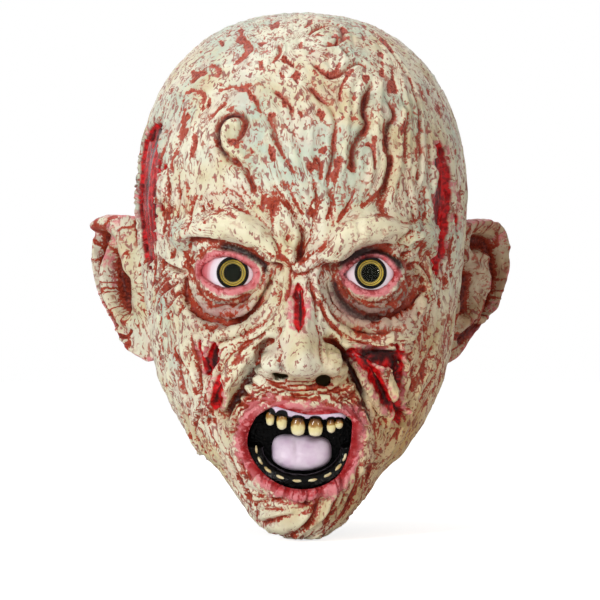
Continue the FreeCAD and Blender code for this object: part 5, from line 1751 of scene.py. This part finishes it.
# Latex moulded and brushed lilac above the teeth, black round them: a soft band with a wet gloss.
upper_gum_rubber = washed_material("banded_gum_rubber", "band", 4, 0.14, 0.0, [
    (0.0, "#E4D4E8"), (0.35, "#C6B2C8"), (0.7, "#121012"), (1.0, "#050505")])
# Latex cast in one lilac, with a weak satin skin.
tongue_lilac = plain_material("tongue_latex", "#F4E2F4", "#E2C8E2", 9, 0.35, bump_mm=0.2, level=0.3)
# Black latex pouch, slush-moulded and varnished: folds that catch a thin glint.
lining_black = plain_material("black_lining_latex", "#050404", "#0A0809", 5, 0.12, bump_mm=1.2, level=0.08)
# Polyurethane resin teeth, cast, stained brown at the root and left cream at the tip, then lacquered.
tooth_resin = washed_material("cast_tooth_resin", "tip", 3.0, 0.16, 0.3, [
    (0.0, "#1A1008"), (0.16, "#5A3412"), (0.42, "#A87A34"), (0.60, "#EFE2A4"), (1.0, "#F8F0C8")])
# The same resin on the short lower stubs, cream clouded with tan.
lower_tooth_resin = plain_material("worn_tooth_resin", "#F4EBBE", "#D8BE7E", 3.5, 0.2, bump_mm=0.05)
# Acrylic's IOR is 1.49. It is matched down, because a white room would veil the pupils through these caps.
cap_ior = 1.14
clear = clear_plastic()


def keep(piece, slot, materials, *nodes):
    """Gives a finished piece its materials, and puts it in place of its CAD node."""
    give(piece, *materials)
    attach(piece, "root")
    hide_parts(*nodes)


keep(skin_piece(), "latex", (latex, raw_latex), "latex_skin")
for name, side_sign, seed in (("left", 1, 40), ("right", -1, 50)):
    keep(ear_piece(name + "_ear_sculpted", side_sign, seed), "latex", (latex,), name + "_ear")
    ball, bezel, iris, pupil, cap = eye_pieces(name, side_sign)
    keep(ball, "eye_plastic", (eye_white,), name + "_eyeball")
    keep(bezel, "bezel_plastic", (limbal_black,), name + "_iris_bezel")
    keep(iris, "iris_plastic", (iris_paint,), name + "_iris_ring")
    keep(pupil, "pupil_plastic", (pupil_black,), name + "_pupil_lens")
    keep(cap, "clear_plastic", (clear,), name + "_cornea")

keep(upper_gum_piece(), "gum_rubber", (upper_gum_rubber,), "upper_gum")
keep(lower_gum_piece(), "gum_rubber", (gum_black,), "lower_gum")
keep(tongue_piece(), "tongue_latex", (tongue_lilac,), "tongue")
for k, row in enumerate(UPPER_TEETH, 1):
    keep(upper_tooth(k, *row), "tooth_resin", (tooth_resin,), "upper_tooth_" + str(k))
for k, row in enumerate(LOWER_TEETH, 1):
    keep(lower_tooth(k, *row), "tooth_resin", (lower_tooth_resin,), "lower_tooth_" + str(k))

# the lining pouch keeps its CAD mesh
give(bpy.data.objects["mouth_lining"], lining_black)

# ---- floor, lights and camera ------------------------------------------------------------------
bpy.ops.object.select_all(action="DESELECT")
bpy.ops.mesh.primitive_plane_add(size=6.0, location=(0, 0.6, -0.001))
floor = bpy.context.object
floor.name = "floor"
# Matt white paper, which lights itself a little for the camera so that it meets the white backdrop.
matte, tree = new_material("pale_floor")
seen = node(tree, "ShaderNodeLightPath")
lit = node(tree, "ShaderNodeBsdfPrincipled", inputs={"Base Color": colour("#F6F6F6"), "Roughness": 0.9})
glow = node(tree, "ShaderNodeEmission", inputs={"Color": (1, 1, 1, 1), "Strength": 0.75})
lifted = node(tree, "ShaderNodeAddShader", inputs={0: lit.outputs[0], 1: glow.outputs[0]})
shown = node(tree, "ShaderNodeMixShader", inputs={
    0: seen.outputs["Is Camera Ray"], 1: lit.outputs[0], 2: lifted.outputs[0]})
node(tree, "ShaderNodeOutputMaterial", inputs={"Surface": shown.outputs[0]})
give(floor, matte)

world = bpy.data.worlds.new("studio")
bpy.context.scene.world = world
world.use_nodes = True
tree = world.node_tree
tree.nodes.clear()
rays = node(tree, "ShaderNodeLightPath")
# white where it is seen, straight on, through the caps or in a gloss, and dimmer as a light
seen = node(tree, "ShaderNodeMath", {"operation": "MAXIMUM"}, {
    0: rays.outputs["Is Camera Ray"], 1: rays.outputs["Is Transmission Ray"]})
seen = node(tree, "ShaderNodeMath", {"operation": "MAXIMUM"}, {
    0: seen.outputs[0], 1: rays.outputs["Is Glossy Ray"]})
room = node(tree, "ShaderNodeBackground", inputs={"Color": (1, 1, 1, 1), "Strength": 0.24})
white = node(tree, "ShaderNodeBackground", inputs={"Color": (1, 1, 1, 1), "Strength": 1.0})
mixed = node(tree, "ShaderNodeMixShader", inputs={
    0: seen.outputs[0], 1: room.outputs[0], 2: white.outputs[0]})
node(tree, "ShaderNodeOutputWorld", inputs={"Surface": mixed.outputs[0]})


def lamp(name, place, aim, size, power, tint=(1, 1, 1)):
    """Square lamp at a place, turned to its aim; metres and watts."""
    data = bpy.data.lights.new(name, "AREA")
    data.size = size
    data.energy = power
    data.color = tint
    obj = bpy.data.objects.new(name, data)
    bpy.context.collection.objects.link(obj)
    obj.location = place
    obj.rotation_mode = "QUATERNION"
    obj.rotation_quaternion = (Vector(aim) - Vector(place)).to_track_quat("-Z", "Y")


lamp("key", (-0.85, -1.45, 0.50), (0, 0, 0.15), 0.30, 12.5)
lamp("fill", (0.80, -1.5, 0.35), (0, 0, 0.15), 0.22, 3.2, (1.0, 0.91, 0.80))
lamp("top", (-0.2, 0.0, 1.2), (0, 0, 0.2), 0.5, 4.6)

sensor = 36.0
camera = bpy.data.cameras.new("camera")
camera.sensor_width = sensor
camera.lens = sensor * camera_distance / view_width
eye = bpy.data.objects.new("camera", camera)
bpy.context.collection.objects.link(eye)
eye.location = Vector(camera_place) * MM
eye.rotation_euler = (math.pi / 2, 0, 0)
camera.clip_start, camera.clip_end = 0.05, 20.0
bpy.context.scene.camera = eye
bpy.context.scene.view_settings.view_transform = "Standard"
